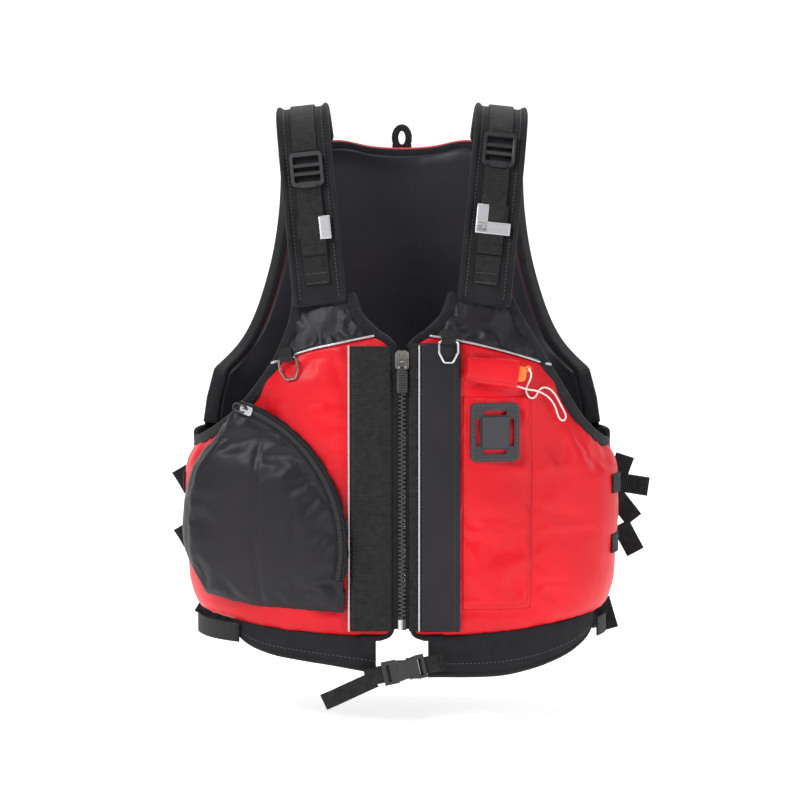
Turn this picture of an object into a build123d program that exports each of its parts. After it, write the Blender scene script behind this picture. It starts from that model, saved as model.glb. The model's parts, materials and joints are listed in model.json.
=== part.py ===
"""A kayaking life jacket: two zipped foam fronts, a high foam back over a mesh lower back, padded shoulder
straps with ladder-lock adjusters, a waist belt with a side-release buckle, and the small hardware.

Frame: millimetres, +Z up, the wearer faces -Y, so +X is the wearer's left. The origin is on the wearer's
body axis at belt height. "left" and "right" are the wearer's.
"""

import math
import os

from build123d import *

os.makedirs("parts", exist_ok=True)

# ---------------------------------------------------------------------------------------------- driving sizes
# Body shape: height, half width, depth in front of and behind the body axis, all to the outer face.
SECTIONS = (
    (-60, 200, 135, 108),
    (0, 212, 135, 114),
    (60, 222, 135, 120),
    (120, 226, 135, 124),
    (180, 225, 135, 126),
    (240, 216, 135, 127),
    (300, 200, 135, 127),
    (360, 186, 121, 124),
    (420, 176, 107, 116),
    (480, 168, 92, 102),
    (540, 160, 75, 84),
)
ROUNDNESS = 2.5  # superellipse power of each level section: 2 is an ellipse, higher is boxier
RIM_POINTS = 36
SIDE_X = 236  # the front and back outlines run out to here, past the widest section
REACH = 240  # wider than the body shape, so that an outline cuts right through it
CUT_DEPTH = 200  # deeper than the body shape, front or back
WIDENED_POINTS = 120

CLOTH = 1.5  # nylon shell or lining
FOAM = 28.0
NEOPRENE = 5.0
LINING_INSET = CLOTH + FOAM
PANEL_INSET = LINING_INSET + CLOTH
BINDING = 2.2
PROUD = 0.6  # how far the binding stands out of the panel's faces
GAP = 0.3
WEB = 1.6  # webbing thickness
PIPING = 2.1
SEAM_PIPING = 2.4  # height of the piping along the yoke seam
EDGE_PIPING_AT = {"right": (-53.4, -138.0), "left": (17.2, -139.9)}  # X and Y of the upright pipings
SKIRT_INSET = 4.0
MESH_INSET = 6.0
BAND_INSET = 2.0
BAND = 6.5
BELT_WEB_WIDTH = 20.0
STRAP_WEB_WIDTH = 25.0

SIDES = {"right": -1, "left": 1}

# Outlines, as distances from the centre line and heights.
CENTRE_EDGE = 10.0  # half the gap between the two foam fronts
HEM = [(24, 9), (60, 10), (142, 16), (190, 23), (SIDE_X, 28)]
CORNER_TOP = 23.0
ZIP_TOP = 300.0
STRAP_BASE = 354.0
NECK = [(56, STRAP_BASE), (48, 334), (28, 314)]
THROAT = [(28, 314), (19, 309), (CENTRE_EDGE, ZIP_TOP)]
ARMHOLE = {
    "right": [(SIDE_X, 192), (206, 208), (172, 234), (148, 262), (131, 286)],
    "left": [(SIDE_X, 190), (212, 203), (188, 226), (168, 256), (150, 284)],
}
YOKE_SIDE = {
    "right": [(131, 286), (122, 304), (113, 330), (110, STRAP_BASE)],
    "left": [(150, 284), (137, 306), (121, 332), (110, STRAP_BASE)],
}
YOKE_SEAM = {
    "right": [(131, 286), (100, 298), (62, 307), (28, 314)],
    "left": [(150, 284), (118, 294), (72, 306), (28, 314)],
}
SKIRT = {
    "right": [(176, 17), (166, 4), (140, -7), (102, -13), (62, -18), (27, -24)],
    "left": [(203, 21), (200, 8), (182, -8), (150, -19), (118, -26), (27, -28)],
}
SKIRT_DROP = 3.2  # the skirts start this far below the hem's edge
BACK_EDGE_Y = 40.0  # the back panels start this far behind the body axis
BACK_FOAM_HEM = 214.0
BACK_SKIRT_HEM = -10.0
BELT_LOW = -9.0

STRAP_TILT = 6.0  # the straps lean outwards as they rise
STRAP_FOOT_X = 83.0
STRAP_WIDTH = 54.0
STRAP_PAD = 10.0
STRAP_SPLIT = 0.6  # half the gap over the shoulder between the front and rear pads
APEX_HEIGHT = 548.0
# The strap's outer line, seen from the side: distance behind the body axis, and height.
STRAP_FRONT = [
    (-117, 361), (-109, 400), (-98, 450), (-85, 500), (-62, 535), (-30, 546), (-STRAP_SPLIT, APEX_HEIGHT),
]
STRAP_REAR = [(STRAP_SPLIT, APEX_HEIGHT), (32, 545), (57, 534), (76, 518)]
ADJUSTER_HEIGHT = {"right": 480.0, "left": 500.0}

TAPE_Y = (-136.8, -135.8)
TEETH_Y = (-138.2, -134.4)
PLACKET_Y = (-138.7, -137.1)
PLACKET_LOW = 17.0
TOOTH_PITCH = 4.2
TOOTH_HEIGHT = 1.8
TOOTH_X = (-1.1, 3.9)
TEETH_FROM = 31.0
TEETH_COUNT = 62
SLIDER_HEIGHT = 290.0
PULL_PIVOT = (0, -142.2, 292)
PULL_PIN = 0.85
RUNNING_CLEARANCE = 0.08

POCKET_YAW = 15.0  # the pocket face is turned this far towards the side
POCKET_ORIGIN = (-63.0, -147.0)
POCKET_CENTRE = (-143.0, 102.0)  # the pocket zip's centre, on the pocket's plane
POCKET_ZIP_RADIUS = 145.0
POCKET_ZIP = (-13.0, 75.0)  # from and to, in degrees round the centre, from level
POCKET_CLOTH = 2.0
POCKET_REACH = 75.0  # the pocket's walls run this far straight back, into the body shape
POCKET_SLIDER_AT = 71.0

BUCKLE_TILT = 12.0
BUCKLE_ORIGIN = (-4.0, -145.0, -22.0)
BUCKLE_WIDTH = 23.0
BUCKLE_THICK = 9.0
ARM_THICK = 4.6

D_RING_AT = {"right": (-113.5, 291.0), "left": (45.5, 309.0)}
D_RING_LIFT = {"right": 5.8, "left": 10.9}
LASH_TAB_AT = (92.0, 217.5)
SLEEVE_AT = (88.0, 278.5)
SLEEVE_ROLL = 8.0
WHISTLE_RISE = 1.5  # the whistle lies this far above the sleeve's middle
LUG_AT = (37.0, 7.5)

SIDE_STRAPS = {"upper": 158.0, "lower": 96.0}
STRAP_REACH = {"right": (-34, 78), "left": (-60, 78)}
# Strap tails under the arms: middle, length and lean of each.
SIDE_TAILS = {
    ("upper", "left"): ((243, 16, 150), 38, -8),
    ("lower", "left"): ((241, 20, 92), 34, -62),
    ("upper", "right"): ((-241, 16, 156), 26, 60),
    ("lower", "right"): ((-238, 20, 96), 22, 60),
}

CORD_DIAMETER = 1.8
# The whistle's cord, from its lug round a small loop, out to a long one, and back into the sleeve.
LANYARD = [
    (126.4, -128.3, 280.8), (127.3, -132.6, 280.8), (129.4, -131.6, 277.2), (129.2, -128.6, 271.8),
    (126.8, -125.2, 266.2), (124.8, -122.8, 261.4), (124.8, -122.2, 256.4), (127.4, -121.4, 252.0),
    (131.6, -120.4, 250.4), (135.6, -118.6, 253.4), (137.2, -118.0, 258.4), (142.6, -115.8, 262.0),
    (149.4, -112.4, 259.8), (154.6, -110.0, 254.2), (158.8, -108.2, 246.6), (163.6, -106.0, 237.6),
    (166.4, -104.6, 231.6), (164.6, -106.2, 227.0), (160.2, -108.8, 227.8), (157.2, -110.4, 233.8),
    (154.4, -111.2, 243.0), (148.6, -113.8, 251.0), (141.8, -118.6, 255.6), (136.6, -122.8, 258.0),
    (131.4, -125.6, 259.4), (126.0, -128.2, 260.0), (121.2, -129.8, 261.6), (116.2, -130.4, 263.4),
    (111.6, -131.3, 264.6),
]


# ------------------------------------------------------------------------------------------------ body layers
def rim(half_width, front, back):
    """Points round one level section of the body shape."""
    points = []
    for i in range(RIM_POINTS):
        turn = 2 * math.pi * i / RIM_POINTS
        across, along = math.cos(turn), math.sin(turn)
        depth = back if along > 0 else front
        x = half_width * math.copysign(abs(across) ** (2 / ROUNDNESS), across)
        y = depth * math.copysign(abs(along) ** (2 / ROUNDNESS), along)
        points.append((x, y))
    return points


def body_shape(inset):
    """The closed body shape, with its face inset from the outer one."""
    with BuildPart() as body:
        for z, half_width, front, back in SECTIONS:
            with BuildSketch(Plane.XY.offset(z)):
                with BuildLine():
                    Spline(*rim(half_width - inset, front - inset, back - inset), periodic=True)
                make_face()
        loft(ruled=True)
    return body.part


def body_layer(outer, inner):
    """The sleeve between two insets of the body shape."""
    with BuildPart() as sleeve:
        add(body_shape(outer))
        add(body_shape(inner), mode=Mode.SUBTRACT)
    return sleeve.part


SHELL_LAYER = body_layer(0, CLOTH)
FOAM_LAYER = body_layer(CLOTH, LINING_INSET)
LINING_LAYER = body_layer(LINING_INSET, PANEL_INSET)
BINDING_LAYER = body_layer(-PROUD, PANEL_INSET + PROUD)
PIPING_LAYER = body_layer(-PIPING - GAP, -GAP)
NEOPRENE_LAYER = body_layer(SKIRT_INSET, SKIRT_INSET + NEOPRENE)
MESH_LAYER = body_layer(MESH_INSET, MESH_INSET + CLOTH)
HEM_LAYER = body_layer(MESH_INSET - CLOTH, MESH_INSET + 2 * CLOTH)
BAND_LAYER = body_layer(BAND_INSET, BAND_INSET + BAND)
WEB_LAYER = body_layer(-GAP - WEB, -GAP)
PATCH_LAYER = body_layer(-GAP - WEB, -GAP)


def save(label, *solids):
    """Write one node: a single piece, or a group of separate ones."""
    node = solids[0] if len(solids) == 1 else Compound(children=list(solids))
    node.label = label
    export_step(node, f"parts/{label}.step")


def size_at(z):
    """The body shape's half width and its depths in front and behind, at a height."""
    for low, high in zip(SECTIONS, SECTIONS[1:]):
        if low[0] <= z <= high[0]:
            part = (z - low[0]) / (high[0] - low[0])
            return [a + (b - a) * part for a, b in zip(low[1:], high[1:])]
    raise ValueError(f"height {z} is outside the body shape")


def front_plane(x, z, lift, roll=0.0):
    """A plane off the front of the body shape: its normal leaves the wearer, its x runs to the wearer's left
    and, with roll, downwards."""
    half_width, front, _ = size_at(z)
    y = front * (1 - (abs(x) / half_width) ** ROUNDNESS) ** (1 / ROUNDNESS)
    slope_x = math.copysign((abs(x) / half_width) ** (ROUNDNESS - 1) / half_width, x)
    slope_y = (y / front) ** (ROUNDNESS - 1) / front
    normal = Vector(slope_x, -slope_y, 0).normalized()
    level = Vector(-normal.Y, normal.X, 0)
    turn = math.radians(roll)
    x_dir = level * math.cos(turn) - Vector(0, 0, 1) * math.sin(turn)
    return Plane(origin=Vector(x, -y, z) + normal * lift, x_dir=x_dir, z_dir=normal)


def side_plane(side, y, z, lift):
    """A plane off the side of the body shape, behind the body axis: its x runs level towards the back."""
    half_width, _, back = size_at(z)
    x = half_width * (1 - (y / back) ** ROUNDNESS) ** (1 / ROUNDNESS)
    slope_x = (x / half_width) ** (ROUNDNESS - 1) / half_width
    slope_y = (y / back) ** (ROUNDNESS - 1) / back
    normal = Vector(side * slope_x, slope_y, 0).normalized()
    level = Vector(-normal.Y * side, normal.X * side, 0)
    return Plane(origin=Vector(side * x, y, z) + normal * lift, x_dir=level, z_dir=normal)


def box(x, y, z):
    """A block between two limits on each axis, in the current part."""
    with Locations(((x[0] + x[1]) / 2, (y[0] + y[1]) / 2, (z[0] + z[1]) / 2)):
        Box(abs(x[1] - x[0]), abs(y[1] - y[0]), abs(z[1] - z[0]))


def mirrored(points, side):
    return [(side * x, z) for x, z in points]


def cut_out(layer, outline, behind=None):
    """The part of a body layer inside an outline, in front of the body axis or behind a distance from it."""
    with BuildPart() as piece:
        add(layer)
        with BuildSketch(Plane.XZ.offset(-behind if behind else 0)):
            with BuildLine():
                outline()
            make_face()
        extrude(amount=-CUT_DEPTH if behind else CUT_DEPTH, mode=Mode.INTERSECT)
    return piece.part


def widened(outline, distance):
    """Points round an outline, moved outwards by a distance."""
    with BuildSketch() as flat:
        with BuildLine():
            outline()
        make_face()
    edge = flat.sketch.faces()[0].outer_wire()
    shares = [i / WIDENED_POINTS for i in range(WIDENED_POINTS)]
    ring = [(edge.position_at(share), edge.tangent_at(share)) for share in shares]
    turning = sum(a[0].X * b[0].Y - b[0].X * a[0].Y for a, b in zip(ring, ring[1:] + ring[:1]))
    way = math.copysign(distance, turning)
    return [(at.X + along.Y * way, at.Y - along.X * way) for at, along in ring]


def bound_edge(outline, behind=None):
    """The binding just outside an outline, wrapped over the panel's thickness."""
    with BuildPart() as piece:
        add(BINDING_LAYER)
        with BuildSketch(Plane.XZ.offset(-behind if behind else 0)):
            with BuildLine():
                Polyline(*widened(outline, BINDING), close=True)
            make_face()
        extrude(amount=-CUT_DEPTH if behind else CUT_DEPTH, mode=Mode.INTERSECT)
        with BuildSketch(Plane.XZ.offset(-behind if behind else 0)):
            with BuildLine():
                outline()
            make_face()
        extrude(amount=-CUT_DEPTH if behind else CUT_DEPTH, mode=Mode.SUBTRACT)
    return piece.part


def polygon(corners):
    """An outline with straight edges."""

    def outline():
        Polyline(*corners, close=True)

    return outline


# ------------------------------------------------------------------------------------------------ front panels
def front_outline(name, low=True, high=True):
    """A front's outline: low keeps what is under the yoke seam, high what is over it."""
    side = SIDES[name]

    def outline():
        if low:
            corner = HEM[0][0] - CENTRE_EDGE
            RadiusArc((side * CENTRE_EDGE, CORNER_TOP), (side * HEM[0][0], HEM[0][1]), -side * corner)
            Spline(*mirrored(HEM, side))
            Line((side * SIDE_X, HEM[-1][1]), (side * SIDE_X, ARMHOLE[name][0][1]))
            Spline(*mirrored(ARMHOLE[name], side))
            Spline(*mirrored(THROAT, side))
            Line((side * CENTRE_EDGE, ZIP_TOP), (side * CENTRE_EDGE, CORNER_TOP))
        if high:
            Spline(*mirrored(YOKE_SIDE[name], side))
            Line((side * 110, STRAP_BASE), (side * 56, STRAP_BASE))
            Spline(*mirrored(NECK, side))
        if not (low and high):
            Spline(*mirrored(YOKE_SEAM[name], side))

    return outline


def make_fronts():
    """Shell, foam, lining, yoke, edge trim and waist skirt of each front."""
    for name, side in SIDES.items():
        whole = front_outline(name)
        save(f"front_shell_{name}", cut_out(SHELL_LAYER, front_outline(name, high=False)))
        save(f"yoke_{name}", cut_out(SHELL_LAYER, front_outline(name, low=False)))
        save(f"front_foam_{name}", cut_out(FOAM_LAYER, whole))
        save(f"front_lining_{name}", cut_out(LINING_LAYER, whole))

        above = [(side * x, z + SEAM_PIPING / 2) for x, z in YOKE_SEAM[name]]
        below = [(side * x, z - SEAM_PIPING / 2) for x, z in reversed(YOKE_SEAM[name])]
        seam_piping = cut_out(PIPING_LAYER, polygon(above + below))
        with BuildPart() as edge_piping:
            with BuildSketch(Plane.XY.offset(PLACKET_LOW)):
                with Locations(EDGE_PIPING_AT[name]):
                    Circle(PIPING / 2)
            extrude(amount=ZIP_TOP + 5 - PLACKET_LOW)
        save(f"front_trim_{name}", bound_edge(whole), seam_piping, edge_piping.part)

        top = [(x, z - SKIRT_DROP) for x, z in [(27, 9)] + HEM[1:-1] if x < SKIRT[name][0][0]]
        save(f"front_skirt_{name}", cut_out(NEOPRENE_LAYER, polygon(mirrored(top + SKIRT[name], side))))


# -------------------------------------------------------------------------------------------------- back panels
def hem_across(drop):
    """The back's hem line right across, lowered."""
    half = [(x, z - drop) for x, z in HEM]
    return [(-x, z) for x, z in reversed(half)] + half


def back_outline():
    """The high back: neck dip, strap bases, armholes and a straight lower edge."""
    Spline((70, 508), (36, 502), (0, 500), (-36, 502), (-70, 508))
    for side in (-1, 1):
        Line((side * 70, 508), (side * 130, 500))
        Spline((side * 130, 500), (side * 133, 440), (side * 146, 370), (side * 174, 300), (side * SIDE_X, 240))
        Line((side * SIDE_X, 240), (side * SIDE_X, BACK_FOAM_HEM))
    Line((-SIDE_X, BACK_FOAM_HEM), (SIDE_X, BACK_FOAM_HEM))


def hem_band(low, high):
    """The band across the back between two distances below the hem line."""

    def outline():
        upper, lower = hem_across(high), hem_across(low)
        Spline(*upper)
        Line(upper[-1], lower[-1])
        Spline(*lower)
        Line(lower[0], upper[0])

    return outline


def mesh_outline():
    """The lower back: from the hem line up to the high back's lower edge."""
    top = BACK_FOAM_HEM - BINDING - GAP
    lower = hem_across(0)
    Spline(*lower)
    Polyline(lower[-1], (SIDE_X, top), (-SIDE_X, top), lower[0])


def skirt_outline():
    """The back waist skirt, under the hem."""
    upper = hem_across(SKIRT_DROP)
    Spline(*upper)
    Polyline(upper[-1], (SIDE_X, BACK_SKIRT_HEM), (-SIDE_X, BACK_SKIRT_HEM), upper[0])


def make_back():
    """Shell, foam, lining and trim of the high back, the mesh under it, the waist skirt and the hang loop."""
    save("back_shell", cut_out(SHELL_LAYER, back_outline, BACK_EDGE_Y))
    save("back_foam", cut_out(FOAM_LAYER, back_outline, BACK_EDGE_Y))
    save("back_lining", cut_out(LINING_LAYER, back_outline, BACK_EDGE_Y))
    save("back_mesh", cut_out(MESH_LAYER, mesh_outline, BACK_EDGE_Y))
    save("back_skirt", cut_out(NEOPRENE_LAYER, skirt_outline, BACK_EDGE_Y))
    hem_trim = cut_out(HEM_LAYER, hem_band(BINDING, GAP), BACK_EDGE_Y)
    save("back_trim", bound_edge(back_outline, BACK_EDGE_Y), hem_trim)
    belt_top = BELT_LOW + BELT_WEB_WIDTH
    belt = polygon([(-REACH, BELT_LOW), (REACH, BELT_LOW), (REACH, belt_top), (-REACH, belt_top)])
    save("belt_webbing_back", cut_out(WEB_LAYER, belt, BACK_EDGE_Y))

    with BuildPart() as loop:
        with BuildSketch(Plane.XZ.offset(-95)):
            with Locations((0, 519)):
                RectangleRounded(23, 30, 11.3)
                RectangleRounded(7, 18, 3.4, mode=Mode.SUBTRACT)
        extrude(amount=-4)
    save("hang_loop", loop.part)


# ---------------------------------------------------------------------------------------------- shoulder straps
def share_at(line, height):
    """How far along the strap's front line a height lies, from 0 to 1."""
    a, b = 0.0, 1.0
    for _ in range(40):
        middle = (a + b) / 2
        a, b = (middle, b) if line.position_at(middle).Y < height else (a, middle)
    return a


def strap_plane(side):
    """The middle plane of a shoulder strap, leaning outwards: x runs to the back, y up the strap."""
    lean = math.radians(STRAP_TILT)
    return Plane(
        origin=(side * STRAP_FOOT_X, 0, STRAP_BASE),
        x_dir=(0, 1, 0),
        z_dir=(math.cos(lean), 0, -side * math.sin(lean)),
    )


def strap_profile(points, reach, lift, thickness):
    """A closed side-view profile along a stretch of the strap's outer line, lifted off it."""
    line = Spline(*points, mode=Mode.PRIVATE)

    def lifted(distance):
        shifted = []
        for i in range(9):
            share = reach[0] + (reach[1] - reach[0]) * i / 8
            at, along = line.position_at(share), line.tangent_at(share)
            shifted.append((at.X - along.Y * distance, at.Y + along.X * distance - STRAP_BASE))
        return shifted

    near, far = lifted(lift), lifted(lift + thickness)
    Spline(*near)
    Line(near[-1], far[-1])
    Spline(*far)
    Line(far[0], near[0])


def strap_piece(side, points, reach, lift, thickness, width):
    """A strap solid: the side-view profile given its width across the shoulder."""
    with BuildPart() as piece:
        with BuildSketch(strap_plane(side)):
            with BuildLine():
                strap_profile(points, reach, lift, thickness)
            make_face()
        extrude(amount=width / 2, both=True)
    return piece.part


def make_shoulders():
    """Pads, webbing, reflective keepers and ladder locks of each shoulder."""
    line = Spline(*STRAP_FRONT, mode=Mode.PRIVATE)
    whole = (0, 1)
    rear_pads, rear_webbing = [], []
    for name, side in SIDES.items():
        middle = ADJUSTER_HEIGHT[name]
        save(f"shoulder_pad_{name}", strap_piece(side, STRAP_FRONT, whole, -STRAP_PAD, STRAP_PAD, STRAP_WIDTH))
        rear_pads.append(strap_piece(side, STRAP_REAR, whole, -STRAP_PAD, STRAP_PAD, STRAP_WIDTH))
        rear_webbing.append(strap_piece(side, STRAP_REAR, whole, GAP, WEB, STRAP_WEB_WIDTH))

        upper = (share_at(line, middle + 20), 1)
        save(f"upper_strap_{name}", strap_piece(side, STRAP_FRONT, upper, GAP, WEB, STRAP_WEB_WIDTH))
        lower = (share_at(line, 364), share_at(line, middle - 21))
        tail = (share_at(line, 395), share_at(line, middle - 24))
        under = strap_piece(side, STRAP_FRONT, lower, GAP, WEB, STRAP_WEB_WIDTH)
        over = strap_piece(side, STRAP_FRONT, tail, GAP + WEB + 0.4, WEB, STRAP_WEB_WIDTH)
        save(f"lower_strap_{name}", under, over)

        keeper_low = 418 + side * 6
        reach = (share_at(line, keeper_low), share_at(line, keeper_low + 20))
        with BuildPart() as keeper:
            add(strap_piece(side, STRAP_FRONT, reach, GAP, 4.9, 34))
            add(strap_piece(side, STRAP_FRONT, reach, -1, 5.2, 30), mode=Mode.SUBTRACT)
        save(f"reflective_keeper_{name}", keeper.part)
        make_ladder_lock(name, line.position_at(share_at(line, middle)), line.tangent_at(share_at(line, middle)))
    save("rear_pads", *rear_pads)
    save("rear_straps", *rear_webbing)


def make_ladder_lock(name, at, along):
    """A moulded ladder lock: a rounded frame with two bars, and a thumb lip at its lower end."""
    width, height, depth = 33.0, 36.0, 5.0
    side = SIDES[name]
    frame = strap_plane(side)
    lifted = (at.X - along.Y * 1.6, at.Y + along.X * 1.6 - STRAP_BASE)
    normal = frame.x_dir * -along.Y + frame.y_dir * along.X
    plane = Plane(origin=frame.from_local_coords(Vector(*lifted, 0)), x_dir=frame.z_dir, z_dir=normal)
    with BuildPart() as lock:
        with BuildSketch(plane):
            RectangleRounded(width, height, 5)
            RectangleRounded(width - 6.5, height - 9, 1.5, mode=Mode.SUBTRACT)
        extrude(amount=depth)
        with BuildSketch(plane.offset(0.8)):
            with Locations((0, 4.2), (0, -4.6)):
                Rectangle(width - 5, 3.4)
        extrude(amount=3.2)
        with BuildSketch(plane.offset(depth - 1.5)):
            with Locations((0, -height / 2 + 1.2)):
                RectangleRounded(18, 6, 2.5)
        extrude(amount=3)
    save(f"ladder_lock_{name}", lock.part)
    pivot = plane.from_local_coords(Vector(0, height / 2 - 2.2, depth / 2))
    print(f"ladder lock {name}: pivot", pivot, "axis", plane.x_dir)


# --------------------------------------------------------------------------------------------------- main zip
def make_zip_stringer(name):
    """One half of the front zip: its tape, its teeth, its top stop, and its box or pin."""
    side = SIDES[name]
    first = TEETH_FROM + (TOOTH_PITCH / 2 if side > 0 else 0)
    with BuildPart() as tape:
        box((side * 4.2, side * 17), TAPE_Y, (19, 303))
    with BuildPart() as teeth:
        for i in range(TEETH_COUNT):
            z = first + i * TOOTH_PITCH
            box((side * TOOTH_X[0], side * TOOTH_X[1]), TEETH_Y, (z - TOOTH_HEIGHT / 2, z + TOOTH_HEIGHT / 2))
    with BuildPart() as stop:
        box((side * 1.2, side * TOOTH_X[1]), TEETH_Y, (ZIP_TOP - 4, ZIP_TOP))
    with BuildPart() as end:
        box((side * 0.3, side * TOOTH_X[1]), TEETH_Y, (18, 29))
    save(f"zip_stringer_{name}", tape.part, *teeth.part.solids(), stop.part, end.part)


def make_main_zip():
    """Stringers, plackets, storm flap, slider and pull of the front zip."""
    make_zip_stringer("right")
    make_zip_stringer("left")
    with BuildPart() as placket:
        box((-52, -10), PLACKET_Y, (PLACKET_LOW, 303))
    save("zip_placket_right", placket.part)
    with BuildPart() as webbing:
        box((7.5, 18), PLACKET_Y, (PLACKET_LOW, 307))
    with BuildPart() as flap:
        box((18.4, 58), (-139.3, -136.5), (PLACKET_LOW, 307))
    save("storm_flap_left", webbing.part, flap.part)

    pivot = Plane(origin=PULL_PIVOT, x_dir=(0, 1, 0), z_dir=(1, 0, 0))
    with BuildPart() as front_plate:
        with BuildSketch(Plane.XZ.offset(138.7)):
            with Locations((0, SLIDER_HEIGHT)):
                RectangleRounded(14, 19, 4)
        extrude(amount=2.2)
        for way in (-1, 1):
            box((way * 1.6, way * 4.6), (-143.7, -140.6), (284, 295))
        with BuildSketch(pivot):
            Circle(PULL_PIN + RUNNING_CLEARANCE)
        extrude(amount=8, both=True, mode=Mode.SUBTRACT)
    with BuildPart() as back_plate:
        with BuildSketch(Plane.XZ.offset(131.9)):
            with Locations((0, SLIDER_HEIGHT)):
                RectangleRounded(13, 19, 4)
        extrude(amount=2.0)
    save("main_slider", front_plate.part, back_plate.part)

    with BuildPart() as pull:
        with BuildSketch(pivot):
            Circle(PULL_PIN)
        extrude(amount=4.4, both=True)
        box((-1.3, 1.3), (-143.0, -141.4), (279, 292))
        with BuildSketch(Plane.XZ.offset(141)):
            with Locations((0, 269)):
                RectangleRounded(11, 24, 3)
        extrude(amount=2.6)
    save("main_pull", pull.part)


# ------------------------------------------------------------------------------------------------------ pocket
def pocket_plane(lift=0.0):
    """The plane of the cargo pocket's face: x runs along the face, y is up, and the normal leaves the wearer."""
    turn = math.radians(POCKET_YAW)
    normal = (-math.sin(turn), -math.cos(turn), 0)
    origin = (POCKET_ORIGIN[0] + normal[0] * lift, POCKET_ORIGIN[1] + normal[1] * lift, 0)
    return Plane(origin=origin, x_dir=(math.cos(turn), -math.sin(turn), 0), z_dir=normal)


def on_arc(radius, degrees):
    """A point round the pocket zip's centre."""
    turn = math.radians(degrees)
    return (POCKET_CENTRE[0] + radius * math.cos(turn), POCKET_CENTRE[1] + radius * math.sin(turn))


def pocket_outline(inset):
    """The cargo pocket's outline: the zip's arc, the outer edge, the hem and a straight inner edge."""
    radius = POCKET_ZIP_RADIUS + 6 - inset
    start, end = on_arc(radius, POCKET_ZIP[0]), on_arc(radius, POCKET_ZIP[1])
    RadiusArc(start, end, -radius)
    outer_edge = [(-126, 218), (-150, 178), (-159, 130), (-156, 82), (-143, 50)]
    Spline(end, *[(u + inset, z + inset * (z == 50)) for u, z in outer_edge])
    Polyline((-143 + inset, 50 + inset), (-92, 40 + inset), (4 - inset, 36 + inset), start)


def arc_band(width, lift, thickness, from_deg, to_deg):
    """A flat band along the pocket zip's arc, on the pocket's face."""
    inner, outer = POCKET_ZIP_RADIUS - width / 2, POCKET_ZIP_RADIUS + width / 2
    with BuildPart() as band:
        with BuildSketch(pocket_plane(lift)):
            with BuildLine():
                RadiusArc(on_arc(inner, from_deg), on_arc(inner, to_deg), -inner)
                Line(on_arc(inner, to_deg), on_arc(outer, to_deg))
                RadiusArc(on_arc(outer, from_deg), on_arc(outer, to_deg), -outer)
                Line(on_arc(outer, from_deg), on_arc(inner, from_deg))
            make_face()
        extrude(amount=thickness)
    return band.part


def pocket_slider_plane():
    """The pocket face's plane at the slider's closed end: y runs on along the zip."""
    turn = math.radians(POCKET_SLIDER_AT)
    face = pocket_plane()
    along = face.x_dir * -math.sin(turn) + face.y_dir * math.cos(turn)
    origin = face.from_local_coords(Vector(*on_arc(POCKET_ZIP_RADIUS, POCKET_SLIDER_AT), 0))
    return Plane(origin=origin, x_dir=along.cross(face.z_dir), z_dir=face.z_dir)


def make_pocket():
    """The cargo pocket on the right front: a hollow cloth box, its curved zip, slider and pull ring."""
    with BuildPart() as pocket:
        with BuildSketch(pocket_plane()):
            with BuildLine():
                pocket_outline(0)
            make_face()
        extrude(amount=POCKET_REACH, dir=(0, 1, 0))
        with BuildSketch(pocket_plane(-POCKET_CLOTH)):
            with BuildLine():
                pocket_outline(POCKET_CLOTH)
            make_face()
        extrude(amount=POCKET_REACH, dir=(0, 1, 0), mode=Mode.SUBTRACT)
        add(body_shape(-PROUD - GAP), mode=Mode.SUBTRACT)
    save("cargo_pocket", pocket.part.solids().sort_by(SortBy.VOLUME)[-1])

    tape = arc_band(12, 0.0, 0.8, *POCKET_ZIP)
    coil = arc_band(4.4, 0.8, 1.6, POCKET_ZIP[0] + 1, POCKET_ZIP[1] - 0.5)
    save("pocket_zip", tape, coil)

    at = pocket_slider_plane()
    across = Plane(origin=at.origin, x_dir=at.y_dir, z_dir=at.x_dir)
    with BuildPart() as slider:
        with BuildSketch(at.offset(1.2)):
            RectangleRounded(9, 13, 2.5)
        extrude(amount=3.2)
        with BuildSketch(at.offset(1.1)):
            Rectangle(5.6, 20)
        extrude(amount=1.7, mode=Mode.SUBTRACT)
        with BuildSketch(across):
            with Locations((0, 6.4)):
                Rectangle(8, 4.4)
            with Locations((0, 6.35)):
                Rectangle(4.8, 2.7, mode=Mode.SUBTRACT)
        extrude(amount=1.1, both=True)
    save("pocket_slider", slider.part)

    length, width, wire = 15.0, 9.0, 1.6
    with BuildPart() as pull:
        with BuildSketch(at.offset(6.35 - wire / 2)):
            with Locations((0, length / 2 - wire / 2)):
                SlotOverall(length, width, rotation=90)
                SlotOverall(length - 2 * wire, width - 2 * wire, rotation=90, mode=Mode.SUBTRACT)
        extrude(amount=wire)
    save("pocket_pull", pull.part)
    print("pocket zip centre", pocket_plane().from_local_coords(Vector(*POCKET_CENTRE, 0)), "axis", at.z_dir)
    print("pocket pull pivot", at.from_local_coords(Vector(0, 0, 6.35)), "axis", at.x_dir)


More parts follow.
